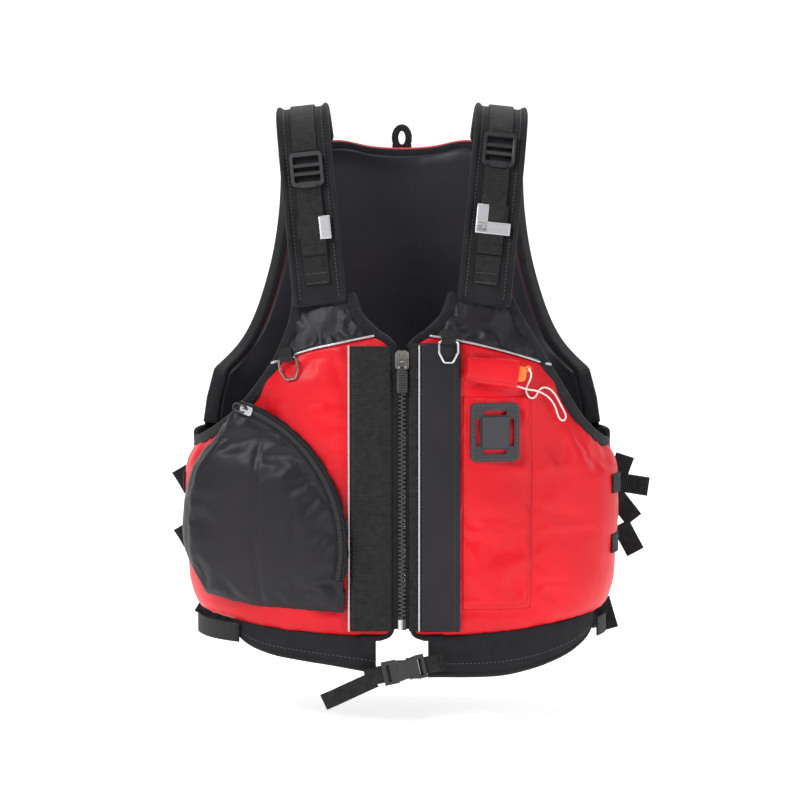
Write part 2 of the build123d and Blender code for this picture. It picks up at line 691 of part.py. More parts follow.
# ------------------------------------------------------------------------------------------------ front fittings
def make_d_rings():
    """A steel D-ring in a folded webbing tab on each front."""
    wire, half, drop = 1.25, 9.5, 21.0
    corners = [(-half, 0), (-half, -11), (-4.5, -drop), (4.5, -drop), (half, -11), (half, 0)]
    for name in SIDES:
        plane = front_plane(*D_RING_AT[name], D_RING_LIFT[name], -12 if name == "right" else 0)
        with BuildPart() as ring:
            with BuildLine(plane):
                path = FilletPolyline(*corners, radius=3, close=True)
            with BuildSketch(path ^ 0.02):
                Circle(wire)
            sweep(path=path)
        save(f"d_ring_{name}", ring.part)

        with BuildPart() as tab:
            with BuildSketch(Plane(origin=plane.origin, x_dir=plane.z_dir, z_dir=-plane.x_dir)):
                Circle(2.8)
                with Locations((0, 5)):
                    Rectangle(3.2, 10)
                Circle(1.5, mode=Mode.SUBTRACT)
            extrude(amount=7.2, both=True)
        save(f"d_ring_tab_{name}", tab.part)
        print(f"D-ring {name}: pivot", plane.origin, "axis", plane.x_dir)


def make_left_front_fittings():
    """Lash tab, flat chest pocket, whistle sleeve and whistle of the left front."""
    patch = cut_out(PATCH_LAYER, polygon([(60, 34), (132, 34), (132, 254), (60, 254)]))

    tab = front_plane(*LASH_TAB_AT, 2.6)
    with BuildPart() as lash:
        with BuildSketch(tab):
            RectangleRounded(50, 59, 6)
        extrude(amount=4.4)
        with BuildSketch(tab.offset(4.4)):
            Rectangle(27, 31)
        extrude(amount=2.2)
        with BuildSketch(tab):
            with Locations((0, 19.5), (0, -19.5)):
                SlotOverall(24, 4.8)
            with Locations((-17.5, 0), (17.5, 0)):
                SlotOverall(28, 4.4, rotation=90)
        extrude(amount=10, both=True, mode=Mode.SUBTRACT)
        add(body_shape(-2.2), mode=Mode.SUBTRACT)
    save("lash_tab", lash.part)

    mouth = 27.0
    at = front_plane(*SLEEVE_AT, 7.5, SLEEVE_ROLL)
    with BuildPart() as sleeve:
        with BuildSketch(at.offset(-16)):
            Rectangle(2 * mouth, 30)
        extrude(amount=22)
        with BuildSketch(at):
            with Locations((4, -1.45)):
                Rectangle(2 * mouth, 24.1)
        extrude(amount=4.8, both=True, mode=Mode.SUBTRACT)
        add(body_shape(-2.2), mode=Mode.SUBTRACT)
    save("chest_pocket", patch, sleeve.part.solids().sort_by(SortBy.VOLUME)[-1])

    with BuildPart() as whistle:
        with BuildSketch(at):
            with Locations((13, WHISTLE_RISE)):
                RectangleRounded(46, 17, 5)
        extrude(amount=3.8, both=True)
        with BuildSketch(at):
            with Locations((LUG_AT[0] - 1.5, LUG_AT[1] - 0.5)):
                SlotOverall(9, 5.6)
        extrude(amount=1.5, both=True)
        with BuildSketch(at):
            with Locations(LUG_AT):
                Circle(1.5)
        extrude(amount=10, both=True, mode=Mode.SUBTRACT)
    save("whistle", whistle.part)
    print("whistle slides along", at.x_dir, "lug", at.from_local_coords(Vector(*LUG_AT, 0)), "normal", at.z_dir)
    print("sleeve mouth low", at.from_local_coords(Vector(mouth - 4, -10.5, 0)))


# ------------------------------------------------------------------------------------------------- belt buckle
def buckle_plane():
    """The buckle's middle plane: x runs from the male half to the female half, z leaves the wearer."""
    turn = math.radians(BUCKLE_TILT)
    return Plane(origin=BUCKLE_ORIGIN, x_dir=(math.cos(turn), 0, math.sin(turn)), z_dir=(0, -1, 0))


def make_buckle():
    """Side-release buckle on the belt: female shell, male frame and its two springing arms."""
    half = BUCKLE_WIDTH / 2
    plane = buckle_plane()
    with BuildPart() as female:
        with BuildSketch(plane):
            with BuildLine():
                upper = [(0, half - 1), (8, half - 2.5), (20, half), (28, half)]
                Polyline(*upper, *[(x, -y) for x, y in reversed(upper)], close=True)
            make_face()
        extrude(amount=BUCKLE_THICK / 2, both=True)
        with BuildSketch(plane):
            with Locations((8.5, 0)):
                Rectangle(19, 17.6)
            with Locations((14.5, 0)):
                Rectangle(9, 2 * half + 2)
        extrude(amount=2.9, both=True, mode=Mode.SUBTRACT)
        with BuildSketch(plane):
            with Locations((23, 0)):
                Rectangle(3.4, 17)
        extrude(amount=BUCKLE_THICK, both=True, mode=Mode.SUBTRACT)
    save("buckle_female", female.part)

    with BuildPart() as male:
        with BuildSketch(plane):
            with Locations((-7.8, 0)):
                Rectangle(15.0, 2 * half)
        extrude(amount=BUCKLE_THICK / 2, both=True)
        with BuildSketch(plane):
            with Locations((-9.6, 0)):
                Rectangle(3.4, 17)
        extrude(amount=BUCKLE_THICK, both=True, mode=Mode.SUBTRACT)
        with BuildSketch(plane):
            with Locations((6.5, 0)):
                Rectangle(14, 3.4)
        extrude(amount=ARM_THICK / 2, both=True)
    save("buckle_male", male.part)

    for name, way in (("upper", 1), ("lower", -1)):
        outline = [(0.1, 5.2), (9.5, 6.2), (10.6, 11.2), (13, 10.8), (17.4, 6.6), (17.0, 4.2), (0.1, 3.2)]
        with BuildPart() as arm:
            with BuildSketch(plane):
                with BuildLine():
                    Polyline(*[(x, way * y) for x, y in outline], close=True)
                make_face()
            extrude(amount=ARM_THICK / 2, both=True)
        save(f"buckle_arm_{name}", arm.part)
        print(f"buckle arm {name}: pivot", plane.from_local_coords(Vector(0, way * 4.2, 0)))


def make_belt():
    """Belt webbing at both halves of the buckle, with the adjusting side's free tail."""
    width = BELT_WEB_WIDTH - 3.2
    plane = buckle_plane()
    with BuildPart() as left:
        with BuildSketch(plane):
            with Locations((36.2, 0)):
                Rectangle(16, width)
        extrude(amount=WEB / 2, both=True)
    save("belt_webbing_left", left.part)

    with BuildPart() as right:
        with BuildSketch(plane):
            with Locations((-24.7, 0)):
                Rectangle(18, width)
        extrude(amount=WEB / 2, both=True)
    lean = math.radians(25)
    hanging = Plane(origin=(-41, -149.0, -33), x_dir=(math.cos(lean), 0, math.sin(lean)), z_dir=(0, -1, 0))
    with BuildPart() as tail:
        with BuildSketch(hanging):
            with Locations((-20, -3)):
                Rectangle(46, width)
        extrude(amount=WEB / 2, both=True)
    save("belt_webbing_right", right.part, tail.part)


# ------------------------------------------------------------------------------------------------- side closure
def side_block(layer, side, y, z):
    """The part of a body layer on one side of the wearer, between two depths and two heights."""
    with BuildPart() as piece:
        add(layer)
        with BuildSketch(Plane.YZ):
            with Locations(((y[0] + y[1]) / 2, (z[0] + z[1]) / 2)):
                Rectangle(y[1] - y[0], z[1] - z[0])
        extrude(amount=side * REACH, mode=Mode.INTERSECT)
    return piece.part


def make_sides():
    """Mesh gussets, armhole bands, adjusting straps with their tails, and tri-glides, under the arms."""
    gusset = (1.5, BACK_EDGE_Y - 1.5)
    mesh, straps = [], []
    for name, side in SIDES.items():
        mesh.append(side_block(MESH_LAYER, side, gusset, (30, 196)))
        mesh.append(side_block(BAND_LAYER, side, gusset, (196 + GAP, 212)))
        glides = []
        for level, height in SIDE_STRAPS.items():
            span = (height - BELT_WEB_WIDTH / 2, height + BELT_WEB_WIDTH / 2)
            middle, length, lean = SIDE_TAILS[level, name]
            angle = math.radians(lean)
            hanging = Plane(origin=middle, x_dir=(side * math.cos(angle), 0, math.sin(angle)), z_dir=(0, -1, 0))
            with BuildPart() as strap:
                add(side_block(WEB_LAYER, side, STRAP_REACH[name], span))
                with BuildSketch(hanging):
                    Rectangle(length, BELT_WEB_WIDTH)
                extrude(amount=WEB)
            straps.append(strap.part)

            with BuildPart() as glide:
                with BuildSketch(side_plane(side, 88, height, 1.2)):
                    RectangleRounded(16, 27, 2.5)
                    with Locations((-3.6, 0), (3.6, 0)):
                        Rectangle(3.4, 21, mode=Mode.SUBTRACT)
                extrude(amount=3.0)
            glides.append(glide.part)
        save(f"tri_glides_{name}", *glides)
        print(f"tri-glides {name} slide along", side_plane(side, 88, 127, 1.2).x_dir)
    save("side_mesh", *mesh)
    save("side_straps", *straps)


# ----------------------------------------------------------------------------------------------------- lanyard
def make_lanyard():
    """The whistle's cord, as one tube along straight runs joined by arcs."""
    points = [Vector(*point) for point in LANYARD]
    radii = []
    for before, at, after in zip(points, points[1:], points[2:]):
        run = min((at - before).length, (after - at).length)
        turn = math.radians((at - before).get_angle(after - at))
        radii.append(0.45 * run / math.tan(turn / 2))
    with BuildPart() as cord:
        with BuildLine():
            path = FilletPolyline(*points, radius=radii)
        with BuildSketch(path ^ 0):
            Circle(CORD_DIAMETER / 2)
        sweep(path=path)
    save("whistle_lanyard", cord.part)
    expected = math.pi * (CORD_DIAMETER / 2) ** 2 * path.length
    print("lanyard length", round(path.length, 1), "radii", [round(r, 1) for r in radii])
    print("lanyard volume", round(cord.part.volume, 1), "section times length", round(expected, 1))


make_fronts()
make_back()
make_shoulders()
make_main_zip()
make_pocket()
make_d_rings()
make_left_front_fittings()
make_buckle()
make_belt()
make_sides()
make_lanyard()
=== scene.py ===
"""Looks for the kayaking life jacket: nylon, foam, neoprene, webbing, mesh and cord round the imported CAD.

Frame: +X to the wearer's left, the wearer faces -Y, +Z up, origin on the body axis at belt height.
Patterns are written in millimetres, as on a cutting table, and every mesh is made in metres by mesh_piece().
A place on the body is (turn, z): turn 0 is the wearer's left side, 90 the front, 180 the right side and 270
the back.
"""

import json
import math

import bmesh
import bpy
import numpy as np
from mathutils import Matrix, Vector
from mathutils.bvhtree import BVHTree
from mathutils.kdtree import KDTree


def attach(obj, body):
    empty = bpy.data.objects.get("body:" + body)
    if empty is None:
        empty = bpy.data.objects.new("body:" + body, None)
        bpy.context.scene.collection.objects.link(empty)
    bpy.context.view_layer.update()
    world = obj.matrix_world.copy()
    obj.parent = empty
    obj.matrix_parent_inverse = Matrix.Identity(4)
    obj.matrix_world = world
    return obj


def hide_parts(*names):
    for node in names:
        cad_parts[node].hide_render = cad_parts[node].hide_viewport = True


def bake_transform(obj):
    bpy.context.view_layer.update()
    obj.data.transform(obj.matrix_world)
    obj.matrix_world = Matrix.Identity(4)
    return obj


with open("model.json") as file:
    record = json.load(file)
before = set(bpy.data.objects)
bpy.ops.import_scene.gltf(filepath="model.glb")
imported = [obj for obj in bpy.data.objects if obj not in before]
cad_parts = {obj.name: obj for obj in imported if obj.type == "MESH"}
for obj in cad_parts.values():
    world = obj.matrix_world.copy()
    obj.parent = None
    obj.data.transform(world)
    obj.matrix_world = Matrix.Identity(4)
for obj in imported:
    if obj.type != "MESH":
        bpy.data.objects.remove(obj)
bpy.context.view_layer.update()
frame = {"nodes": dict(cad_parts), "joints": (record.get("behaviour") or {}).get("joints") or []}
MM = 0.001
JOINTS = {joint["name"]: joint for joint in frame["joints"]}

# -------------------- body shape
# Height, half width, depth in front of and behind the body axis, to the outer face of the fabric.
SECTIONS = np.array([
    (-60, 200, 135, 108),
    (0, 212, 135, 114),
    (60, 222, 135, 120),
    (120, 226, 135, 124),
    (180, 225, 135, 126),
    (240, 216, 135, 127),
    (300, 200, 135, 127),
    (360, 186, 121, 124),
    (420, 176, 107, 116),
    (480, 168, 92, 102),
    (540, 160, 75, 84),
], float)
ROUNDNESS = 2.5
PANEL = 31.0  # thickness of a foam panel
RAY_START = 45  # how far outside the body a piece is looked for
SIDES = {"right": -1, "left": 1}

CENTRE_EDGE = 10
HEM = [(24, 9), (60, 10), (142, 16), (190, 23), (236, 28)]
NECK = [(28, 314), (48, 334), (56, 354)]
THROAT = [(CENTRE_EDGE, 300), (19, 309), (28, 314)]
ARMHOLE = {
    "right": [(131, 286), (148, 262), (172, 234), (206, 208), (236, 192)],
    "left": [(150, 284), (168, 256), (188, 226), (212, 203), (236, 190)],
}
YOKE_SIDE = {
    "right": [(131, 286), (122, 304), (113, 330), (110, 354)],
    "left": [(150, 284), (137, 306), (121, 332), (110, 354)],
}
YOKE_SEAM = {
    "right": [(28, 314), (62, 307), (100, 298), (131, 286)],
    "left": [(28, 314), (72, 306), (118, 294), (150, 284)],
}
SKIRT_LOW = {
    "right": [(27, -24), (62, -18), (102, -13), (140, -7), (166, 4), (176, 14)],
    "left": [(27, -28), (118, -26), (150, -19), (182, -8), (200, 8), (203, 19)],
}
BACK_EDGE_Y = 40
BACK_FOAM_HEM = 214
BACK_NECK = [(-130, 500), (-70, 508), (-36, 502), (0, 500), (36, 502), (70, 508), (130, 500)]
BACK_ARMHOLE = [(130, 500), (133, 440), (146, 370), (174, 300), (236, 240)]

# -------------------- straps
STRAP_LINE = [
    (76, 518), (57, 534), (32, 545), (0, 548), (-30, 546), (-62, 535), (-85, 500), (-98, 450), (
        -109, 400
    ), (-117, 361), (-120, 345),
]
STRAP_TILT = 6
STRAP_FOOT_X = 83
STRAP_BASE = 354
STRAP_WIDTH = 54
WEB = 1.6
WEB_WIDTH = 25
BELT_WIDTH = 20
ADJUSTER_HEIGHT = {"right": 480, "left": 500}

# The bands of each strap's keeper: offset across, width, low, high, lift and slot.
KEEPERS = {
    "right": [(0, 30, 411, 431, 4.9, "webbing"), (12.6, 11.5, 408, 432, 5.9, "reflective")],
    "left": [
        (0, 30, 426, 444, 4.9, "webbing"), (-10.5, 12, 416, 444, 5.9, "reflective"),
        (1.2, 35, 414, 427, 5.9, "reflective")
    ],
}

# -------------------- zip and pocket
ZIP_LOW = 17
TOOTH_PITCH = 4.2
POCKET_YAW = math.radians(15)
POCKET_ORIGIN = (-63.0, -147.0)
POCKET_CENTRE = (-143.0, 102.0)
POCKET_ZIP_RADIUS = 145.0
POCKET_ZIP = (-13.0, 75.0)

# The whistle's cord, in metres, from its lug round a small loop, out to a long one, and back into the sleeve.
LANYARD = [
    (
        0.1264, -0.1283, 0.2808
    ), (0.1273, -0.1326, 0.2808), (0.1294, -0.1316, 0.2772), (0.1292, -0.1286, 0.2718),
    (
        0.1268, -0.1252, 0.2662
    ), (0.1248, -0.1228, 0.2614), (0.1248, -0.1222, 0.2564), (0.1274, -0.1214, 0.2520),
    (
        0.1316, -0.1204, 0.2504
    ), (0.1356, -0.1186, 0.2534), (0.1372, -0.1180, 0.2584), (0.1426, -0.1158, 0.2620),
    (
        0.1494, -0.1124, 0.2598
    ), (0.1546, -0.1100, 0.2542), (0.1588, -0.1082, 0.2466), (0.1636, -0.1060, 0.2376),
    (
        0.1664, -0.1046, 0.2316
    ), (0.1646, -0.1062, 0.2270), (0.1602, -0.1088, 0.2278), (0.1572, -0.1104, 0.2338),
    (
        0.1544, -0.1112, 0.2430
    ), (0.1486, -0.1138, 0.2510), (0.1418, -0.1186, 0.2556), (0.1366, -0.1228, 0.2580),
    (
        0.1314, -0.1256, 0.2594
    ), (0.1260, -0.1282, 0.2600), (0.1212, -0.1298, 0.2616), (0.1162, -0.1304, 0.2634),
    (0.1116, -0.1313, 0.2646),
]
CORD_DIAMETER = 0.0018

CAMERA_DISTANCE = 2.5
CAMERA_ELEVATION = math.radians(4)
VIEW_HALF_WIDTH = 0.4  # metres seen each side of the picture's middle at the jacket's front
AIM = Vector((-0.002, -0.135, 0.25))


# -------------------- body geometry
def section(z):
    """Half width, front depth and back depth of the body shape at each height."""
    z = np.asarray(z, float)
    return [np.interp(z, SECTIONS[:, 0], SECTIONS[:, k]) for k in (1, 2, 3)]


def skin(turn, z, lift=0.0):
    """Points on the body shape at turns and heights, lifted off it; millimetres."""
    turn, z = np.radians(np.asarray(turn, float)), np.asarray(z, float)
    half_width, front, back = section(z)
    across, along = np.cos(turn), np.sin(turn)
    depth = np.where(along > 0, front, back) + lift
    x = (half_width + lift) * np.sign(across) * np.abs(across) ** (2 / ROUNDNESS)
    y = -depth * np.sign(along) * np.abs(along) ** (2 / ROUNDNESS)
    return np.stack(np.broadcast_arrays(x, y, z), -1)


def on_skin(place, lift=0.0):
    """Points on the body shape at places (turn, z)."""
    return skin(place[..., 0], place[..., 1], lift)


def turn_at(points, behind=False):
    """The (turn, z) of pattern points (x, z), on the front or the back of the body shape."""
    x, z = np.asarray(points, float).T
    half_width, _, back = section(z)
    share = np.clip(np.abs(x) / half_width, 0, 1) ** (ROUNDNESS / 2)
    turn = np.degrees(np.arccos(share))
    if behind:
        least = np.degrees(np.arcsin((BACK_EDGE_Y / back) ** (ROUNDNESS / 2)))
        turn = np.maximum(turn, least)
    turn = np.where(x < 0, 180 - turn, turn)
    return np.stack([360 - turn if behind else turn, z], -1)


def spline(points, count):
    """A smooth line through points, as count + 1 points evenly spaced along it."""
    points = np.asarray(points, float)
    chord = np.linalg.norm(np.diff(points, axis=0), axis=1)
    at = np.concatenate([[0], np.cumsum(chord)])
    slope = np.gradient(points, at, axis=0)
    fine = np.linspace(0, at[-1], 400)
    k = np.clip(np.searchsorted(at, fine, side="right") - 1, 0, len(at) - 2)
    span = at[k + 1] - at[k]
    t = ((fine - at[k]) / span)[:, None]
    span = span[:, None]
    line = (
        (2 * t**3 - 3 * t**2 + 1) * points[k]
        + (t**3 - 2 * t**2 + t) * span * slope[k]
        + (3 * t**2 - 2 * t**3) * points[k + 1]
        + (t**3 - t**2) * span * slope[k + 1]
    )
    return resample(line, count)


def resample(line, count):
    """A polyline as count + 1 points evenly spaced along it."""
    line = np.asarray(line, float)
    run = np.concatenate([[0], np.cumsum(np.linalg.norm(np.diff(line, axis=0), axis=1))])
    even = np.linspace(0, run[-1], count + 1)
    return np.stack([np.interp(even, run, line[:, k]) for k in range(line.shape[1])], -1)


def joined(*lines):
    """Several lines end to end."""
    return np.concatenate([lines[0]] + [line[1:] for line in lines[1:]])


def mirrored(points, side):
    return [(side * x, z) for x, z in points]


def patch(bottom, top, left, right):
    """A grid of (turn, z) between four edges: bottom and top run left to right, left and right run
    upwards."""
    u = np.linspace(0, 1, len(bottom))[None, :, None]
    v = np.linspace(0, 1, len(left))[:, None, None]
    ruled = (1 - v) * bottom[None] + v * top[None] + (1 - u) * left[:, None] + u * right[:, None]
    corners = (
        (1 - u) * (1 - v) * bottom[0] + u * (1 - v) * bottom[-1] + (1 - u) * v * top[0] + u * v * top[-1]
    )
    return ruled - corners


def outs(points):
    """Level outward directions at points on the body."""
    points = np.asarray(points, float)
    half_width, front, back = section(points[:, 2])
    depth = np.where(points[:, 1] < 0, front, back)
    out = np.zeros_like(points)
    for k, reach in enumerate((half_width, depth)):
        out[:, k] = np.sign(points[:, k]) * np.abs(points[:, k] / reach) ** (ROUNDNESS - 1) / reach
    return out / np.linalg.norm(out, axis=1, keepdims=True)


def tangents(path):
    """Unit directions along a line of points."""
    along = np.gradient(path, axis=0)
    return along / np.linalg.norm(along, axis=1, keepdims=True)


def gap_to(line, points):
    """The distance from each point to the nearest point of a line."""
    tree = KDTree(len(line))
    for i, point in enumerate(line):
        tree.insert(point, i)
    tree.balance()
    return np.array([tree.find(point)[2] for point in points])


def surface_frame(points):
    """Directions across, along and out of a line of points on the body, for ribbons that lie on it."""
    along = tangents(points)
    across = np.cross(along, outs(points))
    across /= np.linalg.norm(across, axis=1, keepdims=True)
    return across, along, np.cross(across, along)


# -------------------- mesh makers
def mesh_piece(name, vertices, faces, material, uv=None, smooth=True):
    """A mesh object from points in millimetres; uv is one pair per vertex, in millimetres."""
    data = bpy.data.meshes.new(name)
    data.from_pydata(
        [tuple(p) for p in np.asarray(vertices, float) * MM], [], [tuple(map(int, f)) for f in faces]
    )
    data.polygons.foreach_set("use_smooth", [smooth] * len(data.polygons))
    if uv is not None:
        layer = data.uv_layers.new(name="UVMap")
        index = np.empty(len(data.loops), np.int32)
        data.loops.foreach_get("vertex_index", index)
        layer.data.foreach_set("uv", (np.asarray(uv, float)[index] * MM).astype(np.float32).ravel())
    for each in material if isinstance(material, (list, tuple)) else [material]:
        data.materials.append(each)
    data.update()
    piece = bpy.data.objects.new(name, data)
    bpy.context.scene.collection.objects.link(piece)
    return piece


def grid_faces(rows, columns, start=0, flip=False, wrap=False):
    """Quads of a grid of points, with the last column joined to the first if wrap."""
    faces = []
    for i in range(rows - 1):
        for j in range(columns if wrap else columns - 1):
            k = (j + 1) % columns
            quad = [
                start + i * columns + j, start + i * columns + k, start + (i + 1) * columns + k,
                start + (i + 1) * columns + j
            ]
            faces.append(quad[::-1] if flip else quad)
    return faces


def grid_rim(rows, columns):
    """Indices round a grid's edge, in order."""
    ring = [j for j in range(columns)]
    ring += [i * columns + columns - 1 for i in range(1, rows)]
    ring += [(rows - 1) * columns + j for j in range(columns - 2, -1, -1)]
    ring += [i * columns for i in range(rows - 2, 0, -1)]
    return ring


def closed_faces(rows, columns):
    """Faces of a closed piece between two grids of points that follow each other."""
    total = rows * columns
    faces = grid_faces(rows, columns) + grid_faces(rows, columns, start=total, flip=True)
    ring = grid_rim(rows, columns)
    return faces + [[b, a, total + a, total + b] for a, b in zip(ring, ring[1:] + ring[:1])]


def slab(name, outer, inner, materials):
    """A closed piece between two grids of points, the inner one with the second material."""
    rows, columns, _ = outer.shape
    faces = closed_faces(rows, columns)
    piece = mesh_piece(name, np.concatenate([outer.reshape(-1, 3), inner.reshape(-1, 3)]), faces, materials)
    quads = (rows - 1) * (columns - 1)
    material = [0] * quads + [1] * quads + [0] * (len(faces) - 2 * quads)
    piece.data.polygons.foreach_set("material_index", material)
    return piece


def outward(piece):
    """Make a closed mesh's faces point out."""
    mesh = bmesh.new()
    mesh.from_mesh(piece.data)
    bmesh.ops.recalc_face_normals(mesh, faces=mesh.faces)
    mesh.to_mesh(piece.data)
    mesh.free()
    return piece


def swept(name, path, profile, material, across=None, out=None, ends=True):
    """A profile (across, out) carried along a path, with its own directions, or those of the body's
    surface."""
    path = np.asarray(path, float)
    if across is None:
        across, _, out = surface_frame(path)
    across, out = np.broadcast_to(across, path.shape), np.broadcast_to(out, path.shape)
    profile = np.asarray(profile, float)
    ring = path[:, None] + across[:, None] * profile[None, :, :1] + out[:, None] * profile[None, :, 1:]
    rows, columns = len(path), len(profile)
    faces = grid_faces(rows, columns, wrap=True)
    if ends:
        faces += [list(range(columns))[::-1], [(rows - 1) * columns + j for j in range(columns)]]
    run = np.concatenate([[0], np.cumsum(np.linalg.norm(np.diff(path, axis=0), axis=1))])
    uv = np.stack(
        [
            np.broadcast_to(profile[None, :, 0], (rows, columns)),
            np.broadcast_to(run[:, None], (rows, columns))
        ],
        -1
    )
    return outward(mesh_piece(name, ring.reshape(-1, 3), faces, material, uv.reshape(-1, 2)))


def round_profile(radius, sides=10):
    turn = np.linspace(0, 2 * math.pi, sides, endpoint=False)
    return np.stack([radius * np.cos(turn), radius * np.sin(turn)], -1)


def web_profile(width, thickness, lift=0.0):
    """A strap's section: flat, with rounded edges; lift is to its lower face."""
    half, edge = width / 2, thickness / 2
    inner = half - edge
    low = [(x, lift) for x in np.linspace(-inner, inner, 7)]
    high = [(x, lift + thickness) for x in np.linspace(inner, -inner, 7)]
    round_edge = [
        (half - 0.3 * edge, lift + 0.4 * edge), (half, lift + edge), (half - 0.3 * edge, lift + 1.6 * edge)
    ]
    return low + round_edge + high + [(-x, rise) for x, rise in reversed(round_edge)]


def fit(piece, body, slot_name, *nodes):
    """Attach a piece to its body and hide the imported nodes it stands for; slot_name is not used."""
    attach(piece, body)
    if nodes:
        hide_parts(*nodes)
    return piece


def smooth_piece(piece, levels=1):
    modifier = piece.modifiers.new("smooth", "SUBSURF")
    modifier.levels = modifier.render_levels = levels
    return piece


# -------------------- materials
class Look:
    """A procedural material under construction: a Principled shader and short ways to feed it."""

    def __init__(self, name, colour, roughness, **sockets):
        self.material = bpy.data.materials.new(name)
        self.material.use_nodes = True
        self.tree = self.material.node_tree
        self.shader = self.tree.nodes["Principled BSDF"]
        self.shader.inputs["Base Color"].default_value = (*colour, 1)
        self.shader.inputs["Roughness"].default_value = roughness
        for socket, value in sockets.items():
            self.shader.inputs[socket.replace("_", " ")].default_value = value
        self.place = self.node("ShaderNodeTexCoord")
        self.height = None

    def node(self, kind, **values):
        made = self.tree.nodes.new(kind)
        for key, value in values.items():
            if key in made.inputs:
                made.inputs[key].default_value = value
            else:
                setattr(made, key, value)
        return made

    def link(self, a, b):
        self.tree.links.new(a, b)

    def noise(self, scale, detail=3.0, stretch=(1, 1, 1)):
        """Noise over the piece, 0 to 1; scale is in cells a metre."""
        mapping = self.node("ShaderNodeMapping")
        mapping.inputs["Scale"].default_value = stretch
        self.link(self.place.outputs["Object"], mapping.inputs["Vector"])
        made = self.node("ShaderNodeTexNoise", Scale=scale, Detail=detail)
        self.link(mapping.outputs[0], made.inputs["Vector"])
        return made.outputs["Fac"]

    def ribs(self, pitch, axis):
        """Rounded ribs across a strap (axis 1) or along it (axis 0), from its pattern coordinates in
        metres."""
        split = self.node("ShaderNodeSeparateXYZ")
        self.link(self.place.outputs["UV"], split.inputs[0])
        turns = self.node("ShaderNodeMath", operation="MULTIPLY")
        turns.inputs[1].default_value = 2 * math.pi / pitch
        self.link(split.outputs[axis], turns.inputs[0])
        wave = self.node("ShaderNodeMath", operation="SINE")
        self.link(turns.outputs[0], wave.inputs[0])
        return wave.outputs[0]

    def mixed(self, share, dark, light, low=0.3, high=0.7):
        """Colour the piece between two colours by a share."""
        ramp = self.node("ShaderNodeValToRGB")
        ramp.color_ramp.elements[0].position = low
        ramp.color_ramp.elements[0].color = (*dark, 1)
        ramp.color_ramp.elements[1].position = high
        ramp.color_ramp.elements[1].color = (*light, 1)
        self.link(share, ramp.inputs[0])
        self.link(ramp.outputs[0], self.shader.inputs["Base Color"])

    def rough(self, share, low, high):
        """Vary the roughness by a share."""
        span = self.node("ShaderNodeMapRange")
        span.inputs["To Min"].default_value = low
        span.inputs["To Max"].default_value = high
        self.link(share, span.inputs["Value"])
        self.link(span.outputs[0], self.shader.inputs["Roughness"])

    def bump(self, share, distance, strength=1.0):
        """Raise the surface by a share of a distance, in metres, over what is already raised."""
        bump = self.node("ShaderNodeBump", Strength=strength, Distance=distance)
        self.link(share, bump.inputs["Height"])
        if self.height is not None:
            self.link(self.height, bump.inputs["Normal"])
        self.height = bump.outputs["Normal"]
        self.link(self.height, self.shader.inputs["Normal"])


def nylon(name, dark, light, roughness, sheen):
    """Coated pack cloth: fine weave grain, small crinkles and a soft sheen."""
    look = Look(name, light, roughness, Sheen_Weight=sheen, Sheen_Roughness=0.35, Specular_IOR_Level=0.3)
    look.mixed(look.noise(9, 4), dark, light)
    look.rough(look.noise(26, 3), roughness - 0.07, roughness + 0.09)
    look.bump(look.noise(13, 3, (1, 1, 0.4)), 0.010, 0.45)
    look.bump(look.noise(48, 3, (1, 1, 0.5)), 0.0012, 0.3)
    look.bump(look.noise(900, 2), 0.0003, 0.5)
    return look.material


def webbing(name, colour, pitch=0.0021):
    """Woven strap: ribs across it and finer yarns along it."""
    look = Look(name, colour, 0.62, Sheen_Weight=0.02, Specular_IOR_Level=0.22)
    look.mixed(look.noise(160, 3), [0.7 * c for c in colour], [1.35 * c for c in colour])
    look.bump(look.ribs(pitch, 1), 0.0004, 0.9)
    look.bump(look.ribs(0.0016, 0), 0.0002, 0.6)
    look.bump(look.noise(1100, 2), 0.0002, 0.5)
    return look.material


def neoprene(name, colour):
    """Foam rubber faced with knitted cloth: matt, with a fine knit grain."""
    look = Look(name, colour, 0.78, Sheen_Weight=0.03, Sheen_Roughness=0.5, Specular_IOR_Level=0.2)
    look.mixed(look.noise(40, 4), [0.75 * c for c in colour], [1.3 * c for c in colour])
    look.bump(look.noise(1400, 2), 0.0004, 0.6)
    look.bump(look.noise(70, 3), 0.0012, 0.25)
    return look.material


def moulded(name, colour, roughness=0.38, grain=0.0001):
    """Moulded plastic: spark-eroded grain, with lighter worn edges."""
    look = Look(name, colour, roughness)
    worn = look.node("ShaderNodeNewGeometry")
    look.mixed(worn.outputs["Pointiness"], colour, [min(1, 1.7 * c + 0.01) for c in colour], 0.5, 0.62)
    look.rough(look.noise(120, 3), roughness - 0.06, roughness + 0.08)
    look.bump(look.noise(1500, 2), grain, 0.6)
    return look.material


def metal(name, dark, light, roughness):
    """Plated steel with faint handling marks."""
    look = Look(name, light, roughness, Metallic=1.0)
    look.mixed(look.noise(60, 4), dark, light)
    look.rough(look.noise(300, 3), roughness - 0.06, roughness + 0.1)
    look.bump(look.noise(500, 2), 0.00006, 0.5)
    return look.material


def reflective(name, colour):
    """Retroreflective tape: silver grey, with its fine honeycomb seal pattern."""
    look = Look(name, colour, 0.32, Metallic=0.35, Coat_Weight=0.3)
    cells = look.node("ShaderNodeTexVoronoi", Scale=420)
    look.link(look.place.outputs["Object"], cells.inputs["Vector"])
    look.mixed(cells.outputs["Distance"], [0.8 * c for c in colour], colour, 0.05, 0.4)
    look.bump(cells.outputs["Distance"], 0.0001, 0.4)
    return look.material


def braid(name, colour):
    """Braided cord: crossing yarns."""
    look = Look(name, colour, 0.6, Sheen_Weight=0.2)
    look.mixed(look.noise(900, 2), [0.72 * c for c in colour], colour)
    look.bump(look.noise(1300, 2), 0.0004, 0.8)
    return look.material


